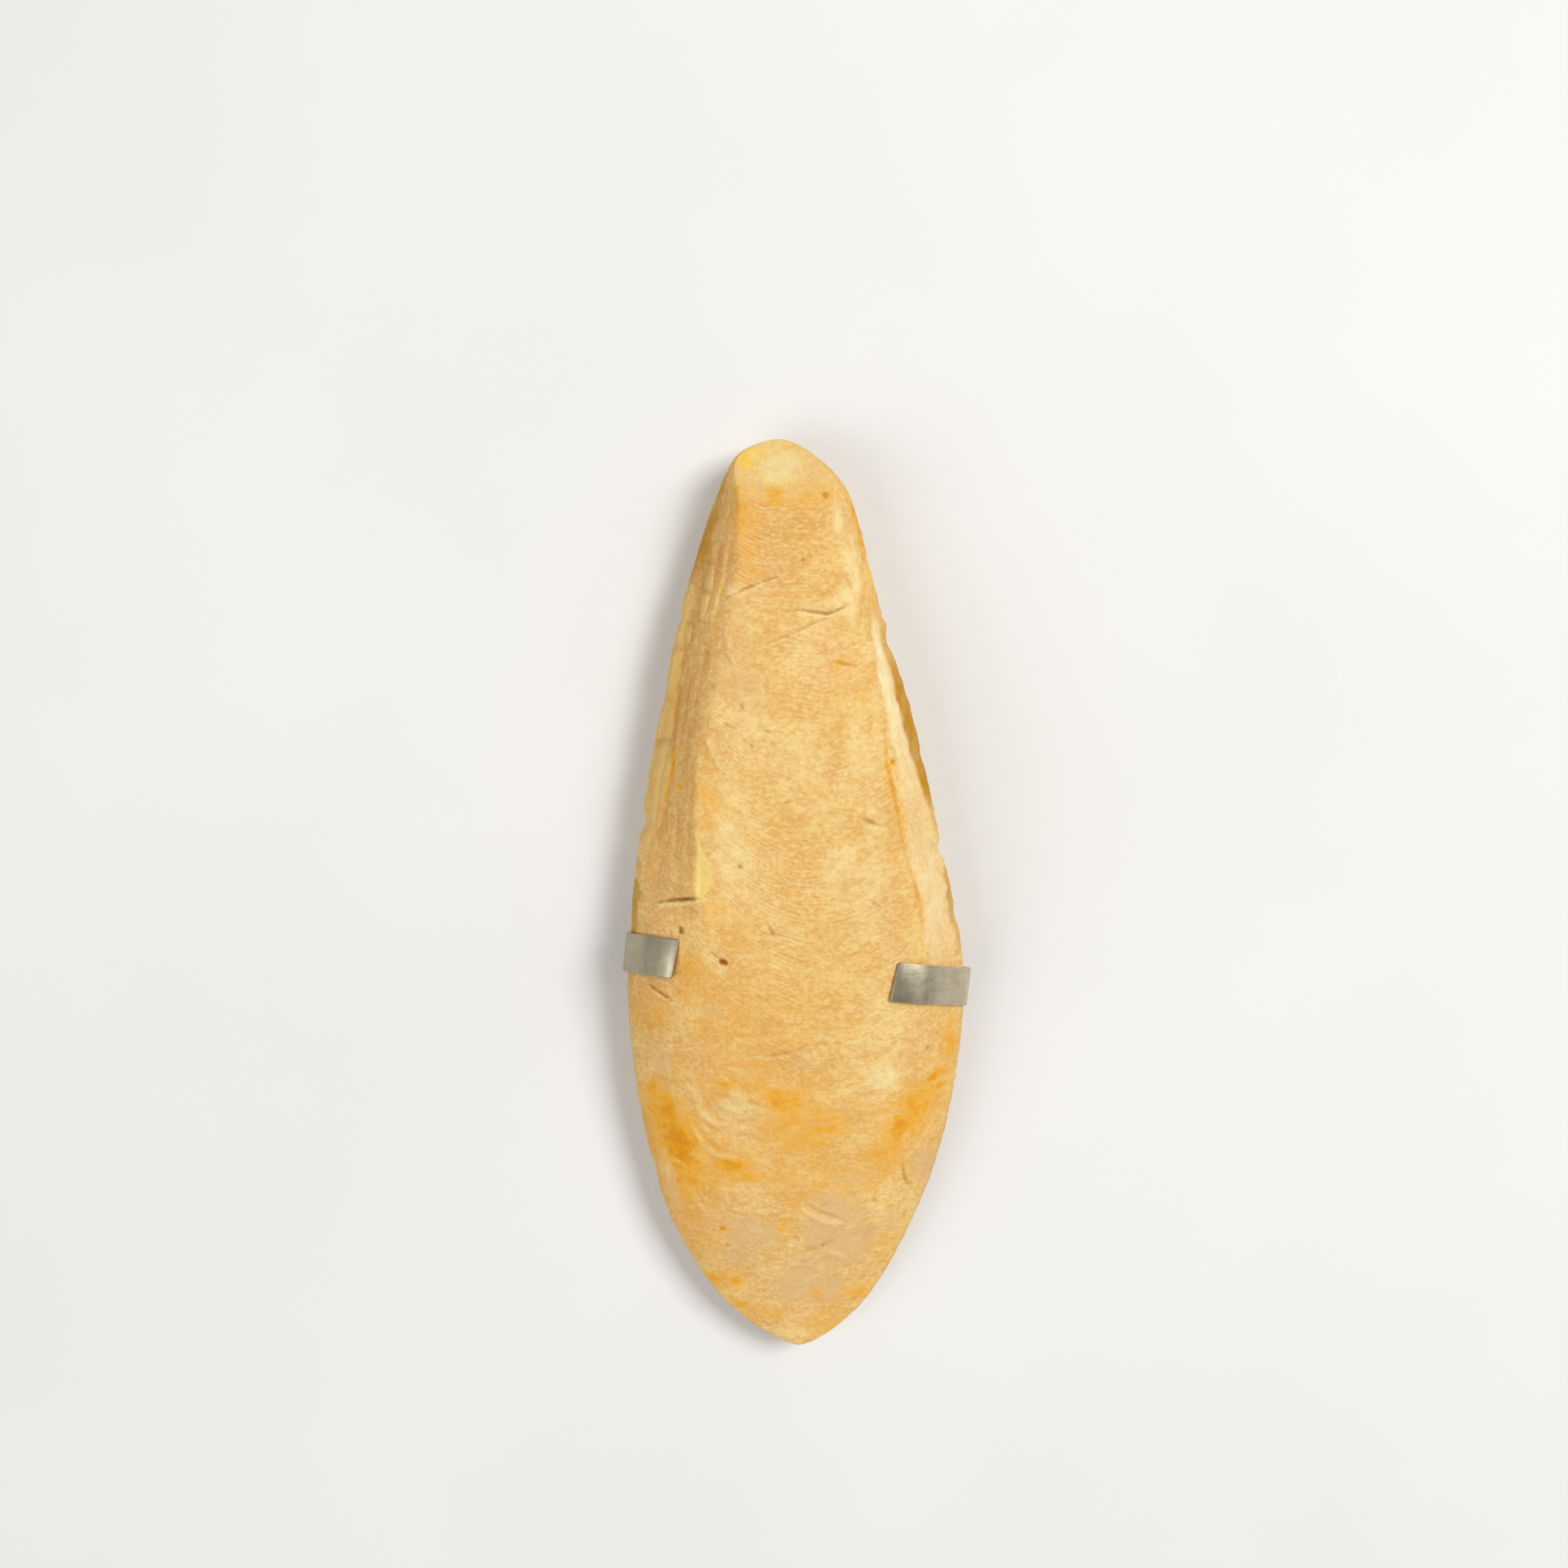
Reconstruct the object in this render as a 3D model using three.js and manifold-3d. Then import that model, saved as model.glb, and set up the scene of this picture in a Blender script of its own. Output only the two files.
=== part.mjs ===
// A cuttlebone for cage birds, lying on its hard back with the soft chambered face up,
// gripped across the middle by a bent sheet-metal hanging clip.
// Millimetres. +X is right, +Y points to the narrow trimmed end, +Z is up out of the soft face.
// The origin is on the resting plane, under the middle of the part.
import * as THREE from "three";
import { mergeVertices } from "three/addons/utils/BufferGeometryUtils.js";
import Module from "manifold-3d";

const wasm = await Module();
wasm.setup();

// Bone outline seen from above, clockwise from the middle of the trimmed nose: [x, y].
const OUTLINE = [
  [0, 75], [5.4, 72.4], [10.2, 67.2], [12.6, 60], [16.2, 44.5], [20.2, 31], [24.4, 11],
  [28.1, -12], [25.3, -36], [19.4, -53.3], [9.6, -69.3],
  [0, -75], [-10.8, -68.8], [-20.2, -54.2], [-25.2, -35], [-26.9, -13], [-24.4, 11],
  [-20.3, 32], [-15.6, 51.5], [-9, 69.4], [-6.6, 73],
];

// Lines along the bone, each a list of [y, value].
const KEEL_HEIGHT = [[-75, 4.6], [-58, 2.5], [-38, 1.1], [-10, 0.85], [18, 0.95], [45, 2.2], [75, 4.8]];
const CREST_HEIGHT = [
  [-75, 7], [-62, 10], [-45, 14], [-25, 17.8], [-5, 20], [15, 20.6], [40, 19], [75, 14.6],
];
const DOME_POWER = [[-75, 2.1], [-40, 2.5], [0, 3.6], [75, 3.8]];
const RIM_HEIGHT = [[-75, 5.6], [-40, 6.8], [0, 7.8], [40, 7.6], [75, 6.9]];
const LEFT_RIDGE = [[75, -6.4], [55, -8.6], [42, -11], [25, -14.4], [10, -14.9], [-20, -16]];
const RIGHT_RIDGE = [[75, 7], [55, 10.8], [40, 13.9], [22, 17.2], [5, 19.6], [-20, 22]];

const RIM_THICKNESS = 1.7; // hard margin of the back shield, seen from the side
const RIM_ROUND = 0.5; // how far the margin's corners are rounded in
const RIM_ROUND_SHARE = 0.12; // and at most this share of the width, at the ends
const FLANK_LEAST = 0.08; // each flank's share of the width stays within these limits
const FLANK_MOST = 0.3;
const RIDGE_BLEND = [0.8, 1.3]; // the flank gives way to the panel here, 1 being the ridge
const CROWN = 1.4; // drop of the front panel from its middle to its sides
const DOME_SHARPNESS = 0.78; // broad end: how the section swells from rim to rim
const BACK_POWER = 2.1; // hard back: section from keel to rim
const PANEL_FADE = [-20, 8]; // y range where the flat front panel swells into the broad end
const LEFT_FLANK_FADE = [-0.5, 3]; // and where the worn side flanks stop: a crack ends the left one
const RIGHT_FLANK_FADE = [-24, -6];
const TRIM_SLOPE = 0.82; // trimmed nose: rise of the slanted cut for each millimetre back from the end
const TRIM_FALL = 0.06; // its small fall from left to right
const TRIM_BLOCK = [60, 60, 30]; // what the cut takes away: width, length and height of a block

// Worn side flank, from the rim (0) up to the ridge (1): [share of width, share of height].
const FLANK_STEPS = [[0, 0], [0.28, 0.14], [0.36, 0.36], [0.58, 0.56], [0.66, 0.76], [0.9, 0.95], [1, 1]];

// Nicks, cracks and chips in the soft face: centre, size, depth, and turn from +X in degrees.
const NICKS = [
  { x: -4.2, y: 52.6, length: 7.6, width: 0.9, depth: 0.5, turn: 20 },
  { x: 5, y: 48, length: 7.5, width: 1.1, depth: 0.6, turn: -4 },
  { x: 9, y: 40, length: 4.2, width: 0.9, depth: 0.4, turn: -10 },
  { x: 12.7, y: 15.2, length: 3.6, width: 1.2, depth: 0.5, turn: -19 },
  { x: -18, y: 2.2, length: 6.4, width: 1.1, depth: 1.1, turn: 8 },
  { x: -14.2, y: 8.6, length: 13.5, width: 3.4, depth: 1.3, turn: 84 },
  { x: -10.7, y: -6.9, length: 1.8, width: 1.1, depth: 1.1, turn: -40 },
  { x: -21.2, y: -13.2, length: 3.8, width: 0.9, depth: 0.5, turn: -32 },
  { x: 4.8, y: -50.3, length: 5.4, width: 1.2, depth: 0.5, turn: -29 },
];

// Hanging clip: one strip bent round the bone, with two flat ears to bend round a cage wire.
const CLIP_WIDTH = 6.4;
const CLIP_THICKNESS = 0.5;
const CLIP_GAP = 0.3; // clearance to the bone
const CLIP_CENTRE_Y = -11.8; // middle of the strip on the resting plane
const CLIP_SKEW = THREE.MathUtils.degToRad(-7.2); // the strip sits slightly askew on the bone
const CLIP_LEAN = 0.17; // and leans towards the nose, by this much for each millimetre up
const LEFT_TAB_END = -18.6; // where the gripping tabs stop on the soft face, along the strip
const RIGHT_TAB_END = 15.7;
const PLATE_HALF = 8; // half length of the flat middle of the strip
const PLATE_BLEND = 9; // length over which the strip leaves the flat middle for the curved back
const EAR_REACH = 25; // ears reach this far from the strip's middle line

// Mesh resolution.
const ROWS = 84;
const PANEL_COLUMNS = 12;
const BACK_COLUMNS = 12;
const CURVE_SAMPLES = 600;
const NICK_SIDES = 8;
const NICK_ROWS = 6;
const STRIP_STEPS = 220;
const EAR_STEPS = 10;
const HULL_TURN = 3; // degrees between the directions in which the strip's line is found
const CLIP_SEARCH = 32; // half of the range searched for the bone under the strip
const SEARCH_STEP = 0.1;
const SEARCH_LANES = 5;
const MEET_ROUNDS = 4;

const { lerp, smoothstep, clamp } = THREE.MathUtils;

// Straight-line lookup in a list of [key, value] with rising keys.
function lookUp(table, key) {
  const after = table.findIndex(([tableKey]) => tableKey >= key);
  const i = after < 0 ? table.length - 1 : Math.max(after, 1);
  const [k0, v0] = table[i - 1];
  const [k1, v1] = table[i];
  return lerp(v0, v1, clamp((key - k0) / (k1 - k0), 0, 1));
}

// Smooth line through a few [y, value] points, as a function of y.
function lineAlong(points) {
  const knots = points.map(([y, value]) => new THREE.Vector3(y, value, 0));
  const curve = new THREE.CatmullRomCurve3(knots, false, "centripetal");
  const table = curve.getPoints(CURVE_SAMPLES).map((p) => [p.x, p.y]);
  table.sort((a, b) => a[0] - b[0]);
  return (y) => lookUp(table, y);
}

// The closed outline as its two sides, each a function from y to x, with the two end heights.
function outlineSides(points) {
  const knots = points.map(([x, y]) => new THREE.Vector3(x, y, 0));
  const loop = new THREE.CatmullRomCurve3(knots, true, "centripetal").getPoints(CURVE_SAMPLES).slice(0, -1);
  const nose = loop.reduce((best, p, i) => (p.y > loop[best].y ? i : best), 0);
  const turned = [...loop.slice(nose), ...loop.slice(0, nose), loop[nose]];
  const tip = turned.reduce((best, p, i) => (p.y < turned[best].y ? i : best), 0);
  const table = (side) => side.map((p) => [p.y, p.x]).sort((a, b) => a[0] - b[0]);
  const right = table(turned.slice(0, tip + 1));
  const left = table(turned.slice(tip));
  return {
    left: (y) => lookUp(left, y),
    right: (y) => lookUp(right, y),
    tipY: turned[tip].y,
    noseY: turned[0].y,
  };
}

const outline = outlineSides(OUTLINE);
const keel = lineAlong(KEEL_HEIGHT);
const crest = lineAlong(CREST_HEIGHT);
const rim = lineAlong(RIM_HEIGHT);
const domePower = lineAlong(DOME_POWER);
const leftRidge = lineAlong(LEFT_RIDGE);
const rightRidge = lineAlong(RIGHT_RIDGE);

// Widths across the bone at y: outline, ridges kept inside it, and the rounded margin.
function span(y) {
  const left = outline.left(y);
  const right = outline.right(y);
  const width = right - left;
  return {
    left,
    right,
    middle: (left + right) / 2,
    half: width / 2,
    round: Math.min(RIM_ROUND, width * RIM_ROUND_SHARE),
    leftRidge: clamp(leftRidge(y), left + width * FLANK_LEAST, left + width * FLANK_MOST),
    rightRidge: clamp(rightRidge(y), right - width * FLANK_MOST, right - width * FLANK_LEAST),
  };
}

// Height of the soft face at a point: a worn panel with stepped flanks that runs out into a smooth dome.
function faceHeight(x, y) {
  const at = span(y);
  const across = clamp((x - at.middle) / at.half, -1, 1);
  const base = rim(y) + RIM_THICKNESS / 2;
  const rise = crest(y) - base;
  const dome = base + rise * (1 - Math.abs(across) ** domePower(y)) ** DOME_SHARPNESS;
  const leftShare = (x - at.left) / (at.leftRidge - at.left);
  const rightShare = (at.right - x) / (at.right - at.rightRidge);
  const share = Math.min(leftShare, rightShare); // 0 on the rim, 1 on the nearer ridge
  const panel = base + (rise - CROWN * across * across) * lookUp(FLANK_STEPS, share);
  const flankFade = smoothstep(y, ...(leftShare < rightShare ? LEFT_FLANK_FADE : RIGHT_FLANK_FADE));
  const fade = lerp(flankFade, smoothstep(y, ...PANEL_FADE), smoothstep(share, ...RIDGE_BLEND));
  return lerp(dome, panel, fade);
}

// Height of the hard back at a point.
function backHeight(x, y) {
  const at = span(y);
  const across = clamp(Math.abs(x - at.middle) / at.half, 0, 1);
  return lerp(keel(y), rim(y) - RIM_THICKNESS / 2, across ** BACK_POWER);
}

// One closed section of the bone at y: across the face, round the right margin, back across the hard side.
function boneSection(y) {
  const at = span(y);
  const low = at.left + at.round;
  const high = at.right - at.round;
  const leftFlank = FLANK_STEPS.map(([share]) => lerp(low, at.leftRidge, share));
  const rightFlank = FLANK_STEPS.map(([share]) => lerp(high, at.rightRidge, share)).reverse();
  const panel = [];
  for (let i = 1; i < PANEL_COLUMNS; i += 1) {
    panel.push(lerp(at.leftRidge, at.rightRidge, i / PANEL_COLUMNS));
  }
  const columns = [...leftFlank, ...panel, ...rightFlank];
  const section = columns.map((x) => new THREE.Vector3(x, y, faceHeight(x, y)));
  section.push(new THREE.Vector3(at.right, y, rim(y)));
  for (let i = 0; i <= BACK_COLUMNS; i += 1) {
    const x = lerp(high, low, i / BACK_COLUMNS);
    section.push(new THREE.Vector3(x, y, backHeight(x, y)));
  }
  section.push(new THREE.Vector3(at.left, y, rim(y)));
  return section;
}

// Closed skin over a list of rings of equal length, with a fan over each end.
function skin(rings) {
  const ringLength = rings[0].length;
  const points = rings.flat();
  const triangles = [];
  for (let row = 0; row + 1 < rings.length; row += 1) {
    for (let i = 0; i < ringLength; i += 1) {
      const a = row * ringLength + i;
      const b = row * ringLength + ((i + 1) % ringLength);
      triangles.push(a, b, b + ringLength, a, b + ringLength, a + ringLength);
    }
  }
  for (const [row, turn] of [[0, 1], [rings.length - 1, 0]]) {
    const centre = points.length;
    const sum = rings[row].reduce((total, p) => total.add(p), new THREE.Vector3());
    points.push(sum.divideScalar(ringLength));
    for (let i = 0; i < ringLength; i += 1) {
      const here = row * ringLength + ((i + turn) % ringLength);
      const next = row * ringLength + ((i + 1 - turn) % ringLength);
      triangles.push(centre, here, next);
    }
  }
  const geometry = new THREE.BufferGeometry().setFromPoints(points);
  geometry.setIndex(triangles);
  return geometry;
}

// A three.js geometry as a manifold solid, and back.
function toSolid(geometry) {
  const bare = geometry.clone();
  bare.deleteAttribute("normal");
  bare.deleteAttribute("uv");
  const merged = mergeVertices(bare, 1e-4);
  return new wasm.Manifold(
    new wasm.Mesh({
      numProp: 3,
      vertProperties: merged.attributes.position.array,
      triVerts: new Uint32Array(merged.index.array),
    }),
  );
}

function toGeometry(solid) {
  const mesh = solid.getMesh();
  const geometry = new THREE.BufferGeometry();
  geometry.setAttribute("position", new THREE.BufferAttribute(mesh.vertProperties, 3));
  geometry.setIndex(new THREE.BufferAttribute(mesh.triVerts, 1));
  return geometry;
}

// A slim pointed cutter for one nick, half sunk in the soft face.
function nickCutter({ x, y, length, width, depth, turn }) {
  const cutter = new THREE.SphereGeometry(1, NICK_SIDES, NICK_ROWS);
  cutter.scale(length / 2, width / 2, depth);
  cutter.rotateZ(THREE.MathUtils.degToRad(turn));
  cutter.translate(x, y, faceHeight(x, y));
  return toSolid(cutter);
}

// The block that the slanted cut takes off the nose.
function trimCutter() {
  const [width, length, height] = TRIM_BLOCK;
  const cutter = new THREE.BoxGeometry(width, length, height);
  cutter.translate(0, 0, height / 2);
  cutter.rotateX(-Math.atan(TRIM_SLOPE));
  cutter.rotateY(Math.atan(TRIM_FALL));
  cutter.translate(0, outline.noseY, rim(outline.noseY) + RIM_THICKNESS / 2);
  return toSolid(cutter);
}

function makeBone() {
  const rings = [];
  for (let row = 1; row < ROWS; row += 1) {
    const share = (1 - Math.cos((Math.PI * row) / ROWS)) / 2; // closer rows where the ends round off
    rings.push(boneSection(lerp(outline.tipY, outline.noseY, share)));
  }
  const trimmed = toSolid(skin(rings)).subtract(trimCutter());
  return toGeometry(NICKS.reduce((bone, nick) => bone.subtract(nickCutter(nick)), trimmed));
}

// A point of the strip: p along it, w across it and z up, in the bone's own axes.
function onStrip(p, w, z) {
  const cos = Math.cos(CLIP_SKEW);
  const sin = Math.sin(CLIP_SKEW);
  const leant = w + CLIP_LEAN * z;
  return new THREE.Vector3(p * cos - leant * sin, CLIP_CENTRE_Y + p * sin + leant * cos, z);
}

// Where the leaning line at p and w meets the bone's face or back, or nothing if it misses the bone.
function meetBone(height, p, w) {
  let point = onStrip(p, w, rim(CLIP_CENTRE_Y));
  for (let i = 0; i < MEET_ROUNDS; i += 1) {
    if (point.x < outline.left(point.y) || point.x > outline.right(point.y)) {
      return [];
    }
    point = onStrip(p, w, height(point.x, point.y));
  }
  return [new THREE.Vector2(p, point.z)];
}

// The bone's sections under the strip, laid over each other, as points (p, z).
function sectionCloud() {
  const cloud = [];
  for (let lane = 0; lane < SEARCH_LANES; lane += 1) {
    const w = (lane / (SEARCH_LANES - 1) - 0.5) * CLIP_WIDTH;
    for (let p = -CLIP_SEARCH; p <= CLIP_SEARCH; p += SEARCH_STEP) {
      cloud.push(...meetBone(faceHeight, p, w), ...meetBone(backHeight, p, w));
    }
  }
  return cloud;
}

// The strip's inner line from tab end to tab end: sheet metal pulled tight round those sections.
function gripLine() {
  const cloud = sectionCloud();
  const hull = [];
  for (let turn = 90; turn <= 450; turn += HULL_TURN) {
    const angle = THREE.MathUtils.degToRad(turn);
    const out = new THREE.Vector2(Math.cos(angle), Math.sin(angle));
    const far = cloud.reduce((best, point) => (point.dot(out) > best.dot(out) ? point : best));
    hull.push(far.clone().addScaledVector(out, CLIP_GAP));
  }
  const even = new THREE.Path(hull).getSpacedPoints(STRIP_STEPS);
  const open = (point) => point.x > LEFT_TAB_END && point.x < RIGHT_TAB_END && point.y > rim(CLIP_CENTRE_Y);
  return even.filter((point) => !open(point));
}

// The line moved outwards by a distance, with the middle of the back pressed flat at a set height.
function offsetLine(line, distance, plateHeight) {
  return line.map((point, i) => {
    const before = line[Math.max(i - 1, 0)];
    const after = line[Math.min(i + 1, line.length - 1)];
    const along = after.clone().sub(before).normalize();
    const moved = point.clone().addScaledVector(new THREE.Vector2(along.y, -along.x), distance);
    const onBack = point.y < rim(CLIP_CENTRE_Y);
    const flat = onBack ? 1 - smoothstep(Math.abs(point.x), PLATE_HALF, PLATE_HALF + PLATE_BLEND) : 0;
    moved.y = lerp(moved.y, plateHeight, flat);
    return moved;
  });
}

function makeStrip() {
  const line = gripLine();
  const inner = offsetLine(line, 0, CLIP_THICKNESS);
  const outer = offsetLine(line, CLIP_THICKNESS, 0);
  const half = CLIP_WIDTH / 2;
  const rings = line.map((_, i) => [
    onStrip(inner[i].x, -half, inner[i].y),
    onStrip(outer[i].x, -half, outer[i].y),
    onStrip(outer[i].x, half, outer[i].y),
    onStrip(inner[i].x, half, inner[i].y),
  ]);
  return skin(rings);
}

// The two ears are one round-ended flat bar that crosses the strip.
function makeEars() {
  const half = CLIP_WIDTH / 2;
  const straight = EAR_REACH - half;
  const bar = new THREE.Shape();
  bar.moveTo(half, -straight);
  bar.lineTo(half, straight);
  bar.absarc(0, straight, half, 0, Math.PI, false);
  bar.lineTo(-half, -straight);
  bar.absarc(0, -straight, half, Math.PI, 2 * Math.PI, false);
  const sheet = { depth: CLIP_THICKNESS, bevelEnabled: false, curveSegments: EAR_STEPS };
  const flat = new THREE.ExtrudeGeometry(bar, sheet);
  flat.rotateZ(CLIP_SKEW);
  flat.translate(0, CLIP_CENTRE_Y, 0);
  return flat;
}

function makeClip() {
  return toGeometry(toSolid(makeStrip()).add(toSolid(makeEars())));
}

const part = new THREE.Group();

const bone = new THREE.Mesh(
  makeBone(),
  new THREE.MeshStandardMaterial({ color: 0xecc384, roughness: 0.9, metalness: 0 }),
);
bone.name = "bone";
part.add(bone);

const clip = new THREE.Mesh(
  makeClip(),
  new THREE.MeshStandardMaterial({ color: 0xa9a498, roughness: 0.45, metalness: 1 }),
);
clip.name = "clip";
part.add(clip);

// Bring the middle of the part over the origin.
const box = new THREE.Box3().setFromObject(part);
const middle = box.getCenter(new THREE.Vector3());
for (const piece of part.children) {
  piece.position.set(-middle.x, -middle.y, -box.min.z);
}

export default part;
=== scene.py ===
import math

import bpy
import numpy as np
from mathutils import Matrix, Vector


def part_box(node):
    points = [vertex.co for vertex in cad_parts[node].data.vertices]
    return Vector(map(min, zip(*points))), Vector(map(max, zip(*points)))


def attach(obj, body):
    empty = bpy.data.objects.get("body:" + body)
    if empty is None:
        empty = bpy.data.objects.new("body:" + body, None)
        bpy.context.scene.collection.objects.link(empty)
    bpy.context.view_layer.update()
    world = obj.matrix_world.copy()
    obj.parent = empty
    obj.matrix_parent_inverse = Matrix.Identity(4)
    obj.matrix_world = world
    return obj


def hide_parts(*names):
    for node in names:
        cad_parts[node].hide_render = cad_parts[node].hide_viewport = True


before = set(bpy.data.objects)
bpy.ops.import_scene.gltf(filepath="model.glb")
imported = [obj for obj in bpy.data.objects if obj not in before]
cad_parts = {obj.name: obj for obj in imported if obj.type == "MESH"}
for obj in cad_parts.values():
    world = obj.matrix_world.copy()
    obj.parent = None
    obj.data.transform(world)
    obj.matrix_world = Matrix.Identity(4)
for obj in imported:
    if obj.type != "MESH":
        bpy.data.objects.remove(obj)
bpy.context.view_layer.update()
print("frame loaded:", sorted(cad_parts))

mm = 0.001  # shapes are worked out in millimetres and turned into metres at the end


# small helpers for lines, steps and noise

def smoothCurve(dots, closed=False, steps=40):
    # centripetal curve through a few points, the same kind that the solids use
    dots = np.array(dots, float)
    if closed:
        path = np.vstack([dots[-1:], dots, dots[:2]])
    else:
        path = np.vstack([2 * dots[0] - dots[1], dots, 2 * dots[-1] - dots[-2]])
    t = np.linspace(0, 1, steps, endpoint=False)[:, None]
    stretches = []
    for a, b, c, d in zip(path, path[1:], path[2:], path[3:]):
        gapA, gapB, gapC = (math.sqrt(np.linalg.norm(q - p)) for p, q in ((a, b), (b, c), (c, d)))
        leave = ((b - a) / gapA - (c - a) / (gapA + gapB) + (c - b) / gapB) * gapB
        arrive = ((c - b) / gapB - (d - b) / (gapB + gapC) + (d - c) / gapC) * gapB
        square = 3 * (c - b) - 2 * leave - arrive
        cube = 2 * (b - c) + leave + arrive
        stretches.append(b + leave * t + square * t**2 + cube * t**3)
    if not closed:
        stretches.append(dots[-1:])
    return np.vstack(stretches)


def lineAlong(dots):
    # smooth line through [y, value] dots, as a function of y
    curve = smoothCurve(dots)
    curve = curve[np.argsort(curve[:, 0])]
    return lambda y: np.interp(y, curve[:, 0], curve[:, 1])


def ease(value, low, high):
    share = np.clip((value - low) / (high - low), 0, 1)
    return share * share * (3 - 2 * share)


def blendTo(a, b, share):
    return a + (b - a) * share


def bell(value, width):
    return np.exp(-((value / width) ** 2))


def within(value, start, end):
    # 1 between two eased ends, each given as (low, high)
    return ease(value, *start) * (1 - ease(value, *end))


def endTaper(along, power=0.5):
    # 0 at both ends of a line and 1 in its middle
    return (4 * along * (1 - along)) ** power


def columnsAt(y, table):
    # the other columns of a short table whose first column is y, highest first
    dots = np.array(table)[::-1]
    return [np.interp(y, dots[:, 0], column) for column in dots[:, 1:].T]


def lengthAlong(line):
    return np.concatenate([[0], np.cumsum(np.linalg.norm(np.diff(line, axis=0), axis=1))])


def deepen(masks, name, value):
    masks[name] = np.maximum(masks.get(name, 0), value)


def latticeNoise(x, y, seed, side=128):
    # smooth random field, -1 to 1
    table = np.random.default_rng(seed).uniform(-1, 1, (side, side))
    x, y = np.broadcast_arrays(np.asarray(x, float), np.asarray(y, float))
    cellX = np.floor(x).astype(int)
    cellY = np.floor(y).astype(int)
    shareX = ease(x - cellX, 0, 1)
    shareY = ease(y - cellY, 0, 1)
    left, right = cellX % side, (cellX + 1) % side
    low, high = cellY % side, (cellY + 1) % side
    near = blendTo(table[left, low], table[right, low], shareX)
    far = blendTo(table[left, high], table[right, high], shareX)
    return blendTo(near, far, shareY)


def roughNoise(x, y, seed, octaves=4):
    total = 0
    for octave in range(octaves):
        total = total + latticeNoise(x * 2.03**octave, y * 2.03**octave, seed + octave) * 0.55**octave
    return total


# the bone's main form: much the same lines as the solid, in millimetres

boneForm = {
    "outline": [  # seen from above, clockwise from the trimmed nose
        [0, 75], [5.4, 72.4], [10.2, 67.2], [12.6, 60], [16.2, 44.5], [20.2, 31], [24.4, 11],
        [28.1, -12], [25.3, -36], [19.4, -53.3], [9.6, -69.3],
        [0, -75], [-10.8, -68.8], [-20.2, -54.2], [-25.2, -35], [-26.9, -13], [-24.4, 11],
        [-20.3, 32], [-15.6, 51.5], [-9, 69.4], [-6.6, 73],
    ],
    "keelHeight": [[-75, 4.6], [-58, 2.5], [-38, 1.1], [-10, 0.85], [18, 0.95], [45, 2.2], [75, 4.8]],
    "crestHeight": [
        [-75, 7], [-62, 10], [-45, 14], [-25, 17.8], [-5, 20], [15, 20.6], [40, 19], [75, 14.6],
    ],
    "domePower": [[-75, 2.1], [-40, 2.5], [0, 3.6], [75, 3.8]],
    "rimHeight": [[-75, 5.6], [-40, 6.8], [0, 7.8], [40, 7.6], [75, 6.9]],
    "leftRidge": [[75, -6.4], [55, -8.6], [42, -11], [25, -14.2], [10, -14.5], [-20, -15.6]],
    "rightRidge": [[75, 7], [55, 10.8], [40, 13.9], [22, 17.2], [5, 19.6], [-20, 22]],
    "flankSteps": [[0, 0], [0.1, 0.1], [0.3, 0.27], [0.62, 0.58], [0.7, 0.66], [0.93, 0.97], [1, 1]],
    "ridgeSoft": (0.07, 0.34),  # rounding of the ridge low on the left, and elsewhere, in flank widths
    "ridgeSoftFade": (20, 38),
    "rimThickness": 1.7,
    "rimRound": 0.5,
    "rimRoundShare": 0.12,
    "flankShare": (0.08, 0.3),
    "ridgeBlend": (0.8, 1.3),
    "ridgeWander": 0.22,
    "crown": 1.4,
    "domeSharpness": 0.78,
    "backPower": 2.1,
    "panelFade": (-20, 8),
    "leftFlankFade": (-1, 3.5),
    "leftFlankLeast": 0.5,  # it is this deep at its end, and fully deep beyond the next stretch
    "leftFlankGrow": (4, 34),
    "rightFlankFade": (-24, -6),
    "trimSlope": 0.82,
    "trimFall": 0.06,
}

loop = smoothCurve(boneForm["outline"], closed=True)
loop = np.roll(loop, -np.argmax(loop[:, 1]), axis=0)
tipAt = np.argmin(loop[:, 1])
rightSide = loop[: tipAt + 1][::-1]
leftSide = np.vstack([loop[tipAt:], loop[:1]])
noseY = loop[0, 1]
tipY = loop[tipAt, 1]

keel = lineAlong(boneForm["keelHeight"])
crest = lineAlong(boneForm["crestHeight"])
rim = lineAlong(boneForm["rimHeight"])
domePower = lineAlong(boneForm["domePower"])
leftRidgeLine = lineAlong(boneForm["leftRidge"])
rightRidge = lineAlong(boneForm["rightRidge"])
halfRim = boneForm["rimThickness"] / 2


def leftRidge(y):
    return leftRidgeLine(y) + boneForm["ridgeWander"] * roughNoise(y / 5, 3.3, 17, 3)


def spanAt(y):
    left = np.interp(y, leftSide[:, 1], leftSide[:, 0])
    right = np.interp(y, rightSide[:, 1], rightSide[:, 0])
    width = right - left
    least, most = boneForm["flankShare"]
    return {
        "left": left,
        "right": right,
        "middle": (left + right) / 2,
        "half": np.maximum(width / 2, 1e-3),
        "round": np.minimum(boneForm["rimRound"], width * boneForm["rimRoundShare"]),
        "leftRidge": np.clip(leftRidge(y), left + width * least, left + width * most),
        "rightRidge": np.clip(rightRidge(y), right - width * most, right - width * least),
    }


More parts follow.
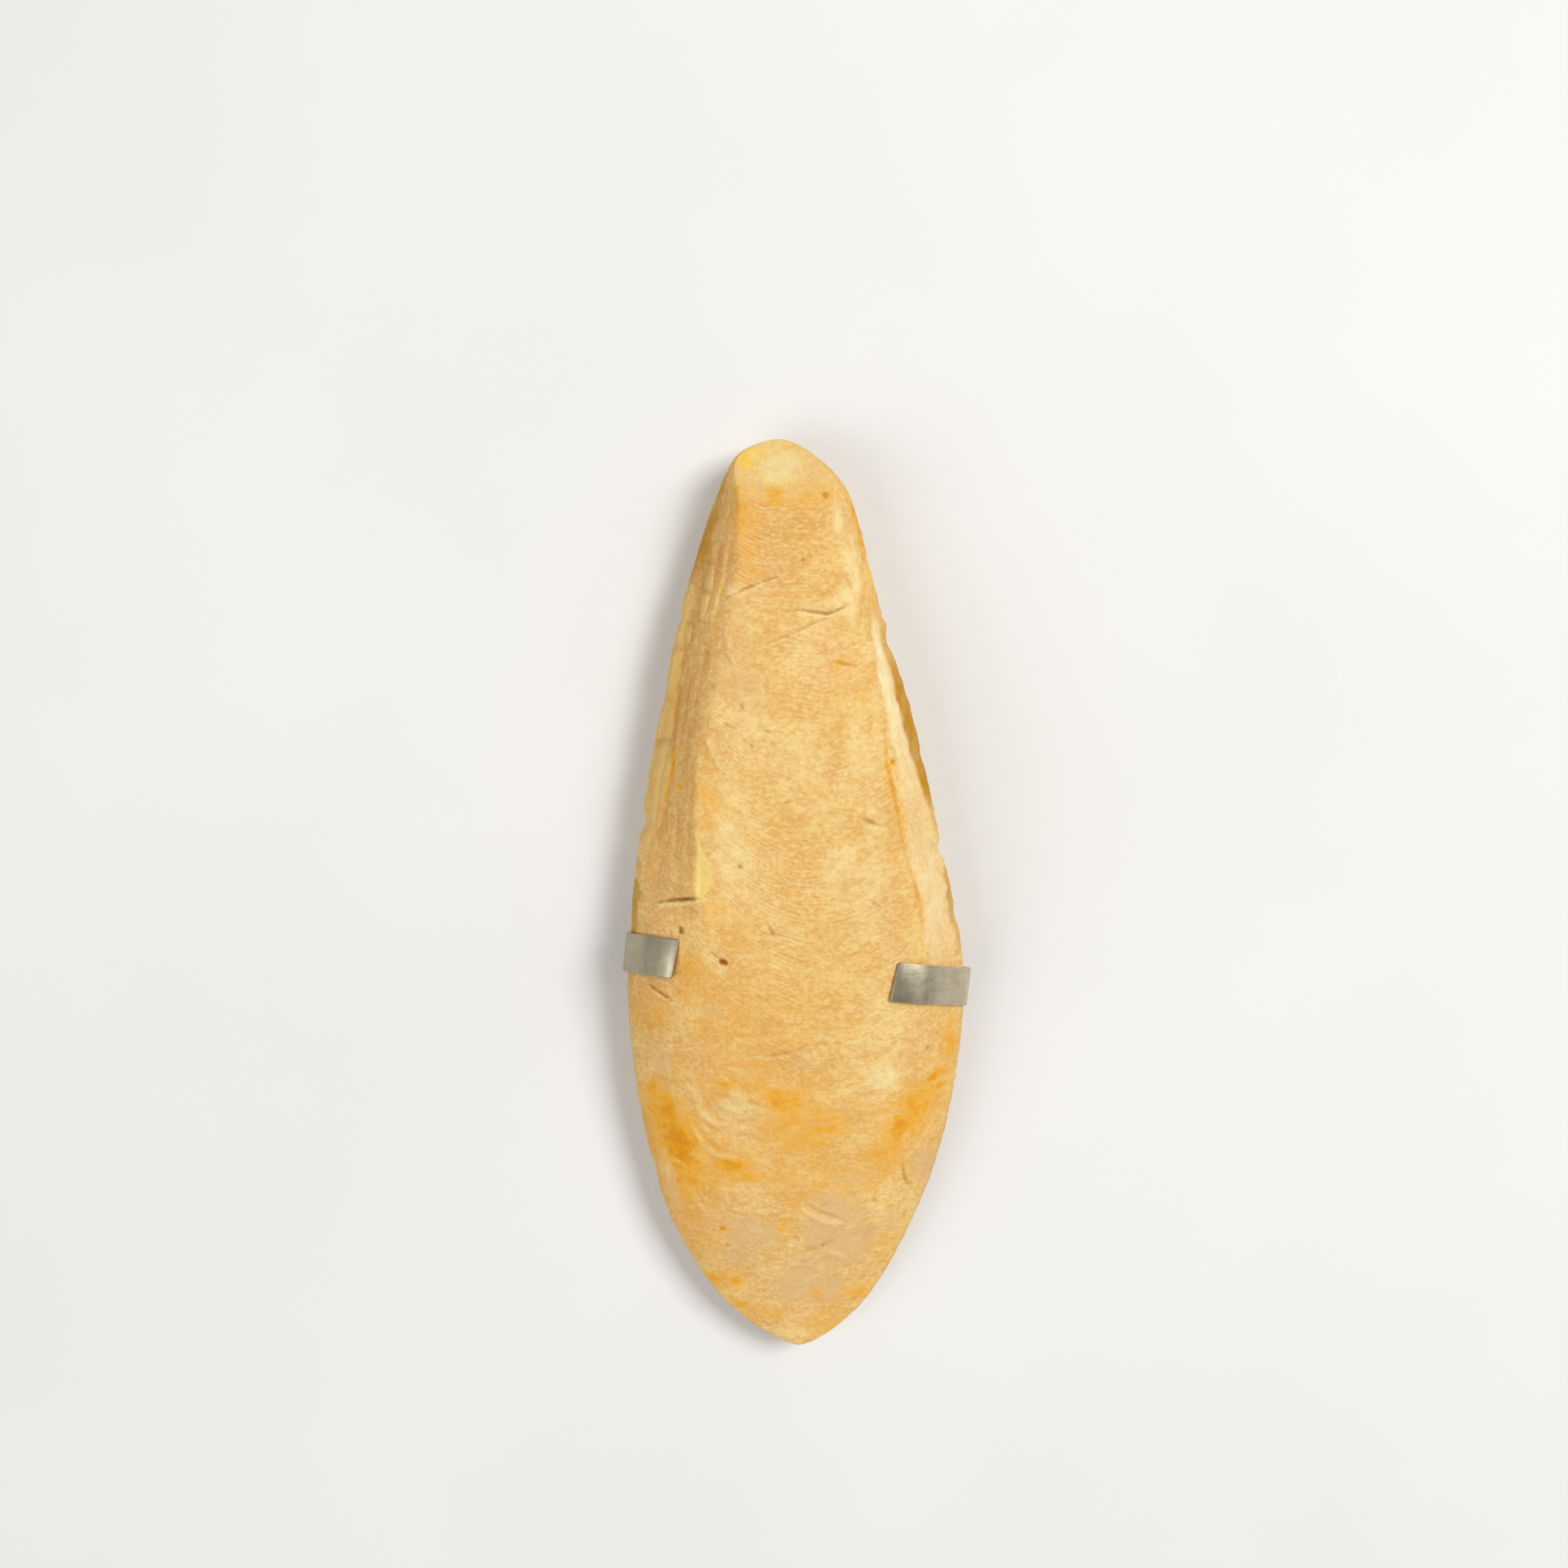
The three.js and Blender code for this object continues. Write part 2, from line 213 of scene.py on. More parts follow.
def facePlan(x, y):
    # where a point lies on the soft face: share 0 on the rim and 1 on the nearer ridge
    at = spanAt(y)
    leftShare = (x - at["left"]) / np.maximum(at["leftRidge"] - at["left"], 1e-3)
    rightShare = (at["right"] - x) / np.maximum(at["right"] - at["rightRidge"], 1e-3)
    onLeft = leftShare < rightShare
    share = np.minimum(leftShare, rightShare)
    leftDeep = blendTo(boneForm["leftFlankLeast"], 1, ease(y, *boneForm["leftFlankGrow"]))
    leftWorn = ease(y, *boneForm["leftFlankFade"]) * leftDeep
    leftSoft = blendTo(*boneForm["ridgeSoft"], ease(y, *boneForm["ridgeSoftFade"]))
    return {
        "across": np.clip((x - at["middle"]) / at["half"], -1, 1),
        "share": share,
        "onLeft": onLeft,
        "worn": np.where(onLeft, leftWorn, ease(y, *boneForm["rightFlankFade"])),
        "soft": np.where(onLeft, leftSoft, boneForm["ridgeSoft"][1]),
        "base": rim(y) + halfRim,
    }


def flankClimb(share, soft):
    # rise of a flank from rim to ridge, its corners rounded by a running mean
    steps = np.array(boneForm["flankSteps"])
    spread = np.linspace(-1, 1, 7)
    return sum(np.interp(share + soft * part, steps[:, 0], steps[:, 1]) for part in spread) / len(spread)


def faceHeight(y, plan):
    rise = crest(y) - plan["base"]
    swell = 1 - np.abs(plan["across"]) ** domePower(y)
    dome = plan["base"] + rise * np.maximum(swell, 0) ** boneForm["domeSharpness"]
    climb = flankClimb(plan["share"], plan["soft"])
    panel = plan["base"] + (rise - boneForm["crown"] * plan["across"] ** 2) * climb
    onPanel = ease(plan["share"], *boneForm["ridgeBlend"])
    fade = blendTo(plan["worn"], ease(y, *boneForm["panelFade"]), onPanel)
    return blendTo(dome, panel, fade)


def trimHeight(x, y):
    # the slanted cut across the nose
    foot = rim(noseY) + halfRim
    return foot + (noseY - y) * boneForm["trimSlope"] - boneForm["trimFall"] * x


# fine face of the bone: rows of the mesh follow the growth lines, three rows to a line

boneGrowth = {
    "row": 0.235,  # row spacing over the lined part, a third of the pitch of the lines
    "plainRow": 0.36,  # and below it
    "linedPart": (-40, 67),
    "bend": [[-75, 0], [-52, 0], [-30, 0.018], [0, 0.028], [40, 0.028], [75, 0.024]],
    "middle": 0.2,  # the lines hang lowest a little right of the middle
    "reach": (0.87, 0.68),  # how far out to the left and right they keep bending
    "flatten": 12,  # how sharply they level off beyond that
    "wave": 0.6,  # slow and quick wander of a line
    "ripple": 0.14,
    "relief": 0.068,
    "fade": (-34, -12),  # they set in over this stretch
    "leftMore": (1.15, 0.75),  # strength on the left and right of the middle
    "profile": (0.85, 0, -0.85),  # the three rows of a line
    "panelColumns": 90,
    "flankColumns": 25,
    "backColumns": 38,
    "rimTurns": (60, 20, -20, -60),
}
growthBend = lineAlong(boneGrowth["bend"])


def rowPlaces():
    low, high = boneGrowth["linedPart"]
    places = [tipY + 0.02]
    while places[-1] < noseY - 0.03:
        here = places[-1]
        step = boneGrowth["row"] if low < here < high else boneGrowth["plainRow"]
        toEnd = min(here - tipY, noseY - here)
        places.append(here + min(step, 0.03 + 0.16 * toEnd))
    places[-1] = noseY - 0.02
    spare = (len(places) - 1) % 3  # the back uses every third row, so both ends fall on one
    if spare:
        del places[40 : 40 + spare]
    return np.array(places)[:, None]


def growthY(across, v):
    # height along the bone of a point on row v
    lean = across - boneGrowth["middle"]
    reach = np.where(lean < 0, *boneGrowth["reach"])
    lean = lean / (1 + np.abs(lean / reach) ** boneGrowth["flatten"]) ** (1 / boneGrowth["flatten"])
    half = spanAt(v)["half"]
    x = across * half
    wave = boneGrowth["wave"] * roughNoise(across * 3 + 20, v / 7 + 40, 11, 2)
    wave = wave + boneGrowth["ripple"] * roughNoise(x / 1.2 + 30, v / 1.1 + 60, 13, 2)
    calm = ease(np.minimum(v - tipY, noseY - v), 0.5, 12)
    return v + growthBend(v) * half**2 * lean**2 + wave * calm


def ridgeAcross(v, side):
    across = np.full_like(v, -0.6 if side == "leftRidge" else 0.7)
    for _ in range(4):
        y = growthY(across, v)
        at = spanAt(y)
        across = (at[side] - at["middle"]) / at["half"]
    return across


def rimEdge(v, sign):
    # where the rounded margin begins, in shares of the half width
    across = np.full_like(v, sign * 0.95)
    for _ in range(3):
        at = spanAt(growthY(across, v))
        across = sign * (1 - at["round"] / at["half"])
    return across


# marks of the real piece, in millimetres

boneCracks = [  # route, width, depth, raised lip below it with a painted highlight, dirt and painted shade in it
    ([(-9, 50.3), (-6.3, 51.6), (-3.4, 52.7), (-0.7, 53.5)], 0.32, 0.3, 0.14, 0.5),
    ([(0.9, 48.3), (3.4, 48.1), (6.7, 47.6), (8.4, 48.2), (10.2, 49.1)], 0.38, 0.4, 0.2, 0.55),
    ([(-4.3, 42.6), (1.5, 44.9), (7.2, 47.2)], 0.36, 0.18, 0.12, 0.2),
    ([(7.1, 40.3), (9.1, 39.8), (11.1, 39.5)], 0.36, 0.2, 0.08, 0.45),
    ([(-21.6, 2), (-18.6, 2.75), (-16, 3.3), (-14.2, 3.5)], 0.46, 0.34, 0.24, 0.95),
    ([(-17.5, -1.1), (-17.4, -1.8), (-17.3, -2.6)], 0.48, 0.25, 0.08, 0.9),
    ([(-12.9, -4.9), (-11.4, -6.2)], 0.34, 0.15, 0.08, 0.5),
    ([(-3.4, -0.8), (-3.1, -1.7), (-2.8, -2.7)], 0.42, 0.2, 0.05, 0.75),
    ([(11, 16), (12.5, 15.2), (14.7, 14.4)], 0.48, 0.28, 0.08, 0.6),
    ([(12.6, 2.4), (14.4, 1.5)], 0.42, 0.2, 0.05, 0.6),
    ([(-23, -11.3), (-21.4, -12.3), (-19.1, -13.6)], 0.38, 0.42, 0.22, 0.62),
    ([(1, -48.8), (4.1, -50.6), (7.6, -52)], 0.8, 0.42, 0.14, 0),
    ([(17.3, -42.3), (17.8, -45), (18.6, -47.2)], 0.38, 0.18, 0.05, 0.55),
    ([(-5.1, -22.6), (-1, -21.9), (2.8, -20.6)], 0.4, 0.14, 0.06, 0.45),
    ([(-9.9, 31.1), (-8.9, 30.5), (-7.8, 30.1)], 0.38, 0.18, 0.06, 0.55),
    ([(-7, 34.2), (-6.8, 32.8)], 0.42, 0.2, 0.05, 0.55),
    ([(-3.8, 29.9), (-2.5, 29.5)], 0.38, 0.14, 0.04, 0.55),
    ([(-1.8, 18.4), (0.8, 18.6)], 0.34, 0.14, 0.04, 0.45),
    ([(15, 32), (15.5, 23.5), (16.4, 19.8), (17.1, 15.3), (17.9, 10)], 0.55, 0.06, 0.02, 0.24),
    ([(17.9, 11), (19.6, 4.8), (20.4, 1.5), (21, -5)], 0.6, 0.06, 0.02, 0.22),
]

boneFolds = [  # thin raised wrinkles: route, width, height
    ([(-17.6, -27.5), (-15.8, -30.5), (-14.8, -35), (-11.6, -38), (-6.8, -38.5)], 0.6, 0.22),
    ([(-15.5, -28.4), (-14.4, -33.2), (-11.8, -34.9), (-6.2, -35.3)], 0.5, 0.24),
    ([(-16.8, -33), (-16, -36.6), (-13, -39.6), (-9, -40.4)], 0.45, 0.14),
    ([(-20.7, -23.1), (-20.2, -26.3), (-19.7, -30.3)], 0.4, 0.12),
    ([(22.8, -35.3), (20.6, -38.9), (17.4, -42.2)], 0.45, 0.16),
    ([(15.5, -23), (15.2, -26), (16.2, -29)], 0.45, 0.2),
    ([(12.6, -24.6), (13.6, -27), (13.2, -29.6)], 0.4, 0.16),
    ([(-12.8, 30.3), (-12, 26.8), (-10.1, 23.2)], 0.38, 0.09),
    ([(-12.3, 28.4), (-11, 25), (-8.9, 22.4)], 0.36, 0.1),
    ([(-9.4, 46.7), (-8.6, 42.4), (-7.2, 37.5)], 0.5, 0.2),
    ([(3.6, -57.3), (6.2, -57.9), (8.3, -59.3)], 0.5, 0.2),
    ([(-4.6, -60.6), (0.6, -59.4), (4.4, -60.8)], 0.5, 0.14),
    ([(8.2, 65.2), (8.5, 62.4), (9, 59.8)], 0.5, 0.2),
    ([(10.3, 54.5), (11, 52.2), (12.1, 50)], 0.5, 0.24),
]

boneWisps = {  # scattered pale strokes and hairlines of the broad end
    "count": 110,
    "seed": 131,
    "reach": (-68, -10),
    "length": (1.2, 4.5),
    "width": (0.3, 0.5),
    "turn": 65,  # at the sides they lie along the outline
    "relief": 0.08,
}

bonePits = [  # x, y, radius, depth, dirt and painted shade
    (-11, -6.65, 0.66, 0.4, 0.95), (-10.5, -6.9, 0.62, 0.4, 0.95), (-7.8, 8.5, 0.5, 0.3, 0.5),
    (3, 55.9, 0.4, 0.25, 0.5), (6.8, 65.9, 0.7, 0.15, 0.35), (-12.3, -53, 0.5, 0.2, 0.5),
    (-5.6, 27.4, 0.3, 0.15, 0.6), (16.4, 24.4, 0.4, 0.15, 0.4), (-11.6, -56.1, 0.35, 0.15, 0.5),
    (4.1, -56.2, 0.35, 0.2, 0.6), (-15.5, -48, 0.35, 0.15, 0.5), (12.9, -58.4, 0.35, 0.15, 0.5),
    (12.8, -48.5, 0.35, 0.15, 0.4), (21.6, -22.6, 0.35, 0.2, 0.6),
]

marginPlates = {  # the hard edge shows beside the left flank as a row of pale plates
    "reach": ((8, 15), (48, 51)),
    # y and share of the flank
    "edge": [(50, 0.24), (42, 0.27), (36, 0.3), (29, 0.4), (21, 0.46), (15, 0.36), (8, 0.3)],
    # y and depth
    "breaks": [(46, 0.3), (42.2, 0.6), (33.8, 0.4), (27.4, 0.9), (21.5, 0.25), (16.8, 0.4)],
    "breakWidth": 0.6,
    "height": 0.2,
    # x, y and half sizes
    "loose": [(-11.8, 53.4, 0.8, 1.9), (-12.65, 49.1, 0.6, 1.95), (-15.4, 44.6, 0.5, 1.4)],
}

boneHollows = [  # shallow worn places: x, y, half width, half length, depth
    (-12, -33.5, 7.5, 6, 0.4),
    (8, -44, 9, 6, 0.25),
    (3, 33, 7, 9, 0.2),
    (-6, 20, 5, 10, 0.22),
]

boneStains = {  # each spot: x, y, half width, half length, strength
    "orange": {"seed": 83, "spots": [
        (-21, -32.2, 2.4, 3, 0.85), (-22.8, -29, 1.6, 2.6, 0.6), (-18.8, -38.8, 2.8, 3.6, 1),
        (-17.9, -45, 2.4, 3.4, 0.65), (-10.6, -41.7, 3, 1.7, 0.75), (-8.2, -43, 3, 1.4, 0.5),
        (-2.2, -30, 3.6, 2.8, 0.55), (5, -35.2, 4, 2.8, 0.55), (19.6, -32, 2.8, 3, 0.6),
        (17.4, -36, 2.6, 2.8, 0.8), (23.4, -28.4, 2, 2.6, 0.75), (13.6, -40.6, 2.4, 2, 0.5),
        (25.4, -22, 1.2, 5, 0.5), (-11.1, -27.3, 1.8, 0.9, 0.62), (5.4, -29.4, 0.7, 0.8, 0.6),
        (-12.3, -53, 0.8, 0.8, 0.7), (-13.6, -62.6, 1.4, 1.2, 0.55), (-10.6, -63.2, 1.4, 1.4, 0.6),
        (-9.4, -67.2, 1.8, 1, 0.5), (9.4, -65.6, 2.4, 1, 0.55), (-2, -53.1, 1.2, 1.8, 0.5),
        (2.6, -66, 1.8, 1.4, 0.4), (-5, -69.2, 3, 0.8, 0.4), (15, -58, 2.4, 4, 0.3),
        (-1.4, 66.2, 1.5, 1.6, 0.65), (3.7, 65.4, 1.7, 1.1, 0.45), (6.8, 65.9, 1.2, 0.9, 0.7),
        (0.6, 73.6, 0.7, 0.6, 0.6), (-2.7, 14.9, 0.8, 2.6, 0.4), (9, 39.6, 2.4, 1, 0.5),
        (9.2, 31, 3, 2.4, 0.2), (12.1, 34.6, 0.9, 2, 0.4), (8.7, 61, 0.6, 1, 0.4),
        (-11.5, 2, 2, 2, 0.45), (-24.6, -20, 1, 7, 0.2), (-23.6, -6.4, 0.8, 3, 0.5),
        (16.4, 24.4, 0.7, 0.7, 0.7), (-14.7, 34.3, 0.7, 0.7, 0.6), (-16.9, 20.7, 0.6, 0.7, 0.7),
        (-20.9, 11.5, 0.7, 0.8, 0.6), (-21.3, 8.8, 0.6, 0.6, 0.6),
    ]},
    "haze": {"seed": 85, "spots": [  # the same stain spread faintly over more of the face
        (-20.4, -35, 5.4, 9, 1), (-16, -52, 4, 7, 0.7), (4, -71, 5, 3.4, 0.7),
        (-14, -29.5, 5.4, 5, 0.55), (-19, -27, 3, 4, 0.5), (15, -37, 4.4, 4.6, 0.8),
        (-9.6, -41.4, 5.4, 4, 0.95), (0.6, -34, 8, 6.4, 1), (19, -34, 5.6, 7, 0.8),
        (14, -41, 5.4, 4.4, 0.95), (-18.4, -46.4, 4, 5, 0.9), (24.6, -24, 2, 7, 0.5),
        (-13, -63.4, 4.4, 3, 0.6), (9.4, -65.4, 4.4, 2, 0.5), (-6, -68.8, 5, 1.6, 0.5),
        (16, -57, 3, 6, 0.3), (3, 66, 6, 2.4, 0.5), (-12.1, 18, 2.4, 4.4, 0.6), (9, 36, 4, 5, 0.15),
        (-22, -15.4, 2.4, 4.4, 0.7), (17.6, 6, 2, 12, 0.15), (-5.8, 60, 3, 8, 0.75),
        (-6, -24, 6, 2.4, 0.5), (-13.6, -42, 6, 6.4, 1), (-9, -27.4, 6, 4, 0.8), (4, -43, 9, 6, 0.65),
        (0, 66, 5, 3, 0.3), (-16.4, -8.8, 3.4, 5, 0.85), (-6, -17, 12, 9, 0.45),
        (-10, -0.6, 4.4, 5, 0.4), (-15, -48, 4, 4, 0.6),
    ]},
    "tan": {"seed": 109, "spots": [
        (-16.8, -8.6, 2.6, 5.4, 0.9), (-2, -12, 6, 3.4, 0.5), (-8, -23, 6, 3, 0.6),
        (-12, 26, 2.2, 9, 0.6), (-7.4, 47, 2, 6, 0.4), (-1, 60, 9, 6.5, 0.9), (3, 52, 7, 5, 0.5),
        (-5, 44, 5, 4, 0.3), (0.4, 12, 4.4, 13, 0.2), (-9, -16.5, 6.5, 5.5, 0.7), (8, -2, 6, 5, 0.35),
        (1, -24, 9, 4, 0.5), (-6, -3.4, 5, 4, 0.35), (9, 22, 4, 4, 0.35), (-19.4, 20, 2, 16, 0.5),
        (17.4, -6, 2, 7, 0.3), (4, -60, 8, 4, 0.3), (-22.6, -17, 3, 7, 1), (-17, -50, 5, 6, 0.8),
        (-8.5, -9, 4, 3, 0.4), (-7, 62.6, 1.4, 6, 0.7),
    ]},
    "pink": {"seed": 113, "spots": [
        (-3, 58, 4.4, 9, 0.6), (6.6, 40, 4, 5.4, 0.7), (-21.5, -25.4, 1.8, 3.6, 1),
        (-14, -23.4, 5, 3, 0.6), (-20.6, -47.4, 2, 5, 0.6), (-12, -53.6, 6, 4.6, 0.7),
        (21, -43, 2.6, 5.4, 1), (18.6, -23.6, 4, 3, 0.7), (0, -64.6, 9, 5, 0.8), (-21, -9, 3, 12, 0.6),
        (-21, 4, 2.4, 7, 0.7), (16.6, 0, 1.6, 12, 0.6), (4, -55, 8, 4, 0.5), (-9.4, 58, 1.6, 8, 0.7),
        (-10, -47, 5, 2, 0.5), (22, -14, 3, 7, 0.5),
    ]},
    "plaster": {"seed": 115, "border": (0.45, 1.2), "spots": [  # smooth pale patches with a clear border
        (-8, -54, 6, 3.6, 1), (7.4, -53, 7.4, 7.4, 1), (0.9, -62.8, 6.4, 5.4, 1),
        (-9.6, -57.8, 3.6, 2.8, 0.9), (-7, 37, 3.4, 9, 0.5), (-14.2, -52, 2.2, 2, 0.3),
        (-20, -47, 1.6, 4, 0.7), (15.4, -53, 2, 4, 0.6), (0.9, -23.8, 2.4, 1, 0.6),
        (-13, -14.6, 1.8, 1.2, 0.6), (9, -44.6, 3, 2, 0.4), (21, -43.4, 2.2, 4.4, 0.8),
        (-21.5, -25, 1.6, 3.4, 0.8),
    ]},
    "pale": {"seed": 97, "spots": [
        (-9.7, -31.3, 4, 3, 0.5), (14.1, -26.8, 3, 4, 0.75), (-1, -73, 4, 1.8, 0.5),
        (2, 25, 6, 4.4, 0.45), (9.6, 49.6, 2, 4, 0.65), (13.8, 13, 2.2, 6, 0.5),
        (-9.4, 10, 4.2, 12, 0.58), (8, 8.8, 3.4, 3.4, 0.5), (16, -14, 4, 7, 0.3), (-6, 31, 4, 6, 0.3),
        (10.6, 56, 1.4, 4, 0.7), (11.3, 53, 0.8, 2.4, 0.9), (8.6, 62, 1.1, 3.6, 0.75),
        (0, 70.6, 5, 3, 0.65), (-11.2, -8, 1.4, 0.9, 0.8), (-6.9, 51.4, 2.4, 1.6, 0.5),
        (6, 48.6, 3, 1, 0.5), (11, 26, 3, 7, 0.45), (12.6, 4, 3.4, 7, 0.5), (4, 15, 3, 4, 0.3),
    ]},
    "yellow": {"seed": 107, "spots": [
        (-5.4, 71.4, 2.2, 2, 0.85), (-4.2, 73, 2.4, 1.3, 0.75), (-6.2, 69.4, 1, 2, 0.6),
        (13.5, 53, 1.1, 6, 0.5), (1, 69, 6, 2, 0.3),
    ]},
}

orangeLines = [  # route, half width, strength: stained edges of the worn layers
    ([(-23.4, -28.8), (-20.9, -32.6), (-19.6, -36.5), (-18.2, -39.4), (-17.5, -41.6), (-17.7, -46)],
     2.6, 0.88),
    ([(25.2, -26), (22.3, -29.5), (19.8, -31.7), (18.4, -35.1), (16.3, -38), (13, -41)], 2.4, 0.62),
    ([(-7, 68.8), (-6.5, 63.6), (-6.9, 57.6)], 1.4, 0.5),
    ([(15.2, 33), (15.5, 23.5), (16.4, 19.8), (17.1, 15.3), (17.8, 10.8)], 0.75, 0.58),
    ([(18.4, 9.6), (20, 4.8), (20.6, 1.5), (21, -4.4)], 0.9, 0.5),
    ([(16.1, 10.8), (16.7, 8.2)], 0.5, 0.6),
    ([(-20.4, 20), (-21.6, 9), (-22, 3)], 1, 0.4),
    ([(-14.2, 21.4), (-12.4, 19.2), (-10.2, 15)], 1.4, 0.45),
    ([(9.6, 69), (11.9, 61.4), (13.6, 53)], 0.8, 0.62),
    ([(-17, 28.8), (-18.1, 24.4), (-19.1, 19.8), (-20.3, 16.1)], 0.36, 0.75),
    ([(-9.8, 55), (-10.3, 48.6), (-10.6, 42)], 0.7, 0.35),
    ([(-16.3, 41), (-17.6, 35), (-18.2, 29)], 0.4, 0.5),
]

litFlankStrip = [  # painted light on the right flank, which faces the lamp: y, inner and outer x, strength
    (46.4, 13.4, 14.7, 0.8), (38, 14.4, 16.5, 0.9), (33, 15.3, 17.9, 0.8), (26, 16.8, 20.2, 0.58),
    (18, 17.6, 22.4, 0.26), (5, 19.4, 25.4, 0.54), (-6, 21.2, 27.4, 0.5),
]

marginStain = {  # ochre on the hard margin; stretches are (sets in), (dies out) along y
    "width": (0.13, 0.5),  # in flank widths, low down and high up
    "widen": (12, 26),
    "border": (0.62, 0.98),
    "right": ((-16, 2), (34, 48)),
    "rightStrength": (0.6, 1),
    "rightGrow": (14, 22),
    "breakAt": 11.5,  # the stain of the right side is broken here
    "breakReach": (0.5, 6),
    "left": ((-14, -6), (6, 14)),
    "leftStrength": 0.7,
    "nose": ((50, 60), (60, 70)),
    "noseStrength": 0.8,
    "least": 0.1,
    "drift": 2.2,  # how far its ends wander
}

boneWear = {
    "layer": 2.3,  # height of one worn layer on the left flank
    "layerShare": 0.4,
    "ridge": 0.15,
    "ridgeWidth": 0.16,  # in flank widths
    "swell": 0.28,
    "lumps": 0.07,
    "fibre": 0.02,  # drawn-out texture of the plain broad end
    "fibreFade": (-30, -8),
    "fibreTone": 0.24,
    "trimRound": 0.8,
}

backRelief = {  # the hidden side
    "trough": 0.25,
    "troughAt": 0.2,  # in half widths
    "troughWidth": 0.09,
    "troughFade": (-60, -20),
    "ridge": 0.08,
    "ridgePitch": 2.4,
    "ridgeBow": 16,
    "granule": 0.1,
}

edgeNotches = {  # y, half length, depth of each chip out of the margin; a bump is a negative depth
    "left": [(14.2, 1.4, 0.75), (47, 1.2, 0.3), (35, 2, 0.25), (-3, 3, 0.2), (-44, 2, 0.2)],
    "right": [
        (9, 1.2, 0.7), (45.4, 0.9, -0.35), (42.6, 1.2, 0.4), (24, 1.5, 0.3), (-2, 1.6, 0.3), (55, 2, 0.2),
    ],
}

ridgeChip = {
    "edge": [(15.4, -14.2), (12, -13.9), (8.8, -12.3), (6.6, -11.9), (4.9, -12.6), (2.7, -14.3)],
    "slope": 0.5,
    "from": 0.2,  # it starts this far inside the ridge
}


def blot(x, y, feather, spots, seed, border=(0.1, 1.6)):
    # soft-edged stains, their ragged borders drawn out along the growth lines
    total = np.zeros_like(x)
    ragged = 0.25 * roughNoise(x / 3.1, y / 3.1, seed) + 0.25 * feather
    for spotX, spotY, halfWidth, halfLength, strength in spots:
        gap = np.hypot((x - spotX) / halfWidth, (y - spotY) / halfLength) + ragged
        total = np.maximum(total, strength * (1 - ease(gap, *border)))
    return total


def nearRoute(x, y, route):
    # distance to a crack's line, which side of it, and how far along
    dots = np.array(route, float)
    nearest = np.full_like(x, 1e3)
    side = np.zeros_like(x)
    along = np.zeros_like(x)
    for i, (start, end) in enumerate(zip(dots, dots[1:])):
        run = end - start
        t = np.clip(((x - start[0]) * run[0] + (y - start[1]) * run[1]) / (run @ run), 0, 1)
        offX = x - start[0] - t * run[0]
        offY = y - start[1] - t * run[1]
        gap = np.hypot(offX, offY)
        closer = gap < nearest
        nearest = np.where(closer, gap, nearest)
        side = np.where(closer, np.sign(run[0] * offY - run[1] * offX), side)
        along = np.where(closer, (i + t) / (len(dots) - 1), along)
    return nearest, side, along


def notchDepth(y, side):
    seed = 61 if side == "left" else 67
    depth = 0.07 * roughNoise(y * 1.1, y * 0 + 3, seed)
    for chipY, halfLength, chipDepth in edgeNotches[side]:
        depth = depth + chipDepth * bell(y - chipY, halfLength)
    return depth * ease(np.minimum(y - tipY, noseY - y), 1, 6)


def chipEdges(x, y, across):
    # small breaks along the thin margin
    toRim = ease(np.abs(across), 0.86, 0.995)
    inward = np.where(across < 0, notchDepth(y, "left"), -notchDepth(y, "right"))
    return x + inward * toRim


def faceGrid(rows):
    # places of the face's points: columns follow the two ridges, rows follow the growth lines
    ridgeL = ridgeAcross(rows, "leftRidge")
    ridgeR = ridgeAcross(rows, "rightRidge")
    flank = np.arange(boneGrowth["flankColumns"]) / boneGrowth["flankColumns"]
    panel = np.linspace(0, 1, boneGrowth["panelColumns"] + 1)
    across = np.hstack([
        blendTo(rimEdge(rows, -1), ridgeL, flank),
        blendTo(ridgeL, ridgeR, panel),
        blendTo(rimEdge(rows, 1), ridgeR, flank[::-1]),
    ])
    y = growthY(across, rows)
    at = spanAt(y)
    return at["middle"] + across * at["half"], y, across


def addLayers(z, x, y, plan, masks):
    # worn chamber walls show along the flanks as thin ledges, each with its own tone and a line of painted
    # shade at its foot
    layer = boneWear["layer"]
    sway = 0.9 * roughNoise(y / 11, x / 9, 23, 3)
    level = (z - plan["base"] + sway) / layer
    floor = np.floor(level)
    ledge = (floor + ease(level - floor, 0.4, 0.95)) * layer + plan["base"] - sway
    toneLine = latticeNoise(floor * 3.7 + 0.5, y / 6 + floor * 5.3, 29)
    broken = ease(latticeNoise(x / 3, y / 5, 37), -0.4, 0.5)
    layered = plan["onFlank"] * plan["onLeft"] * broken
    masks["layer"] = layered * np.clip(1.6 * toneLine, -1, 1)
    masks["seamAndShade"] = layered * (1 - ease(np.abs(level - floor - 0.4), 0.03, 0.16))
    z = blendTo(z, ledge, boneWear["layerShare"] * layered)
    # the ridges are worn round, more in some places
    nearRidge = bell(plan["share"] - 1, boneWear["ridgeWidth"]) * plan["worn"]
    return z - nearRidge * boneWear["ridge"] * (1 + 0.8 * np.maximum(roughNoise(y / 2.6, x / 9, 41), 0))


def addSwells(z, x, y, plan):
    inside = 1 - np.abs(plan["across"]) ** 8
    z = z + inside * boneWear["swell"] * roughNoise(x / 14, y / 18, 31, 3)
    z = z + inside * boneWear["lumps"] * roughNoise(x / 2.4, y / 3, 35, 4)
    for hollowX, hollowY, halfWidth, halfLength, depth in boneHollows:
        gap = np.hypot((x - hollowX) / halfWidth, (y - hollowY) / halfLength)
        z = z - depth * (1 - ease(gap, 0.1, 1))
    return z


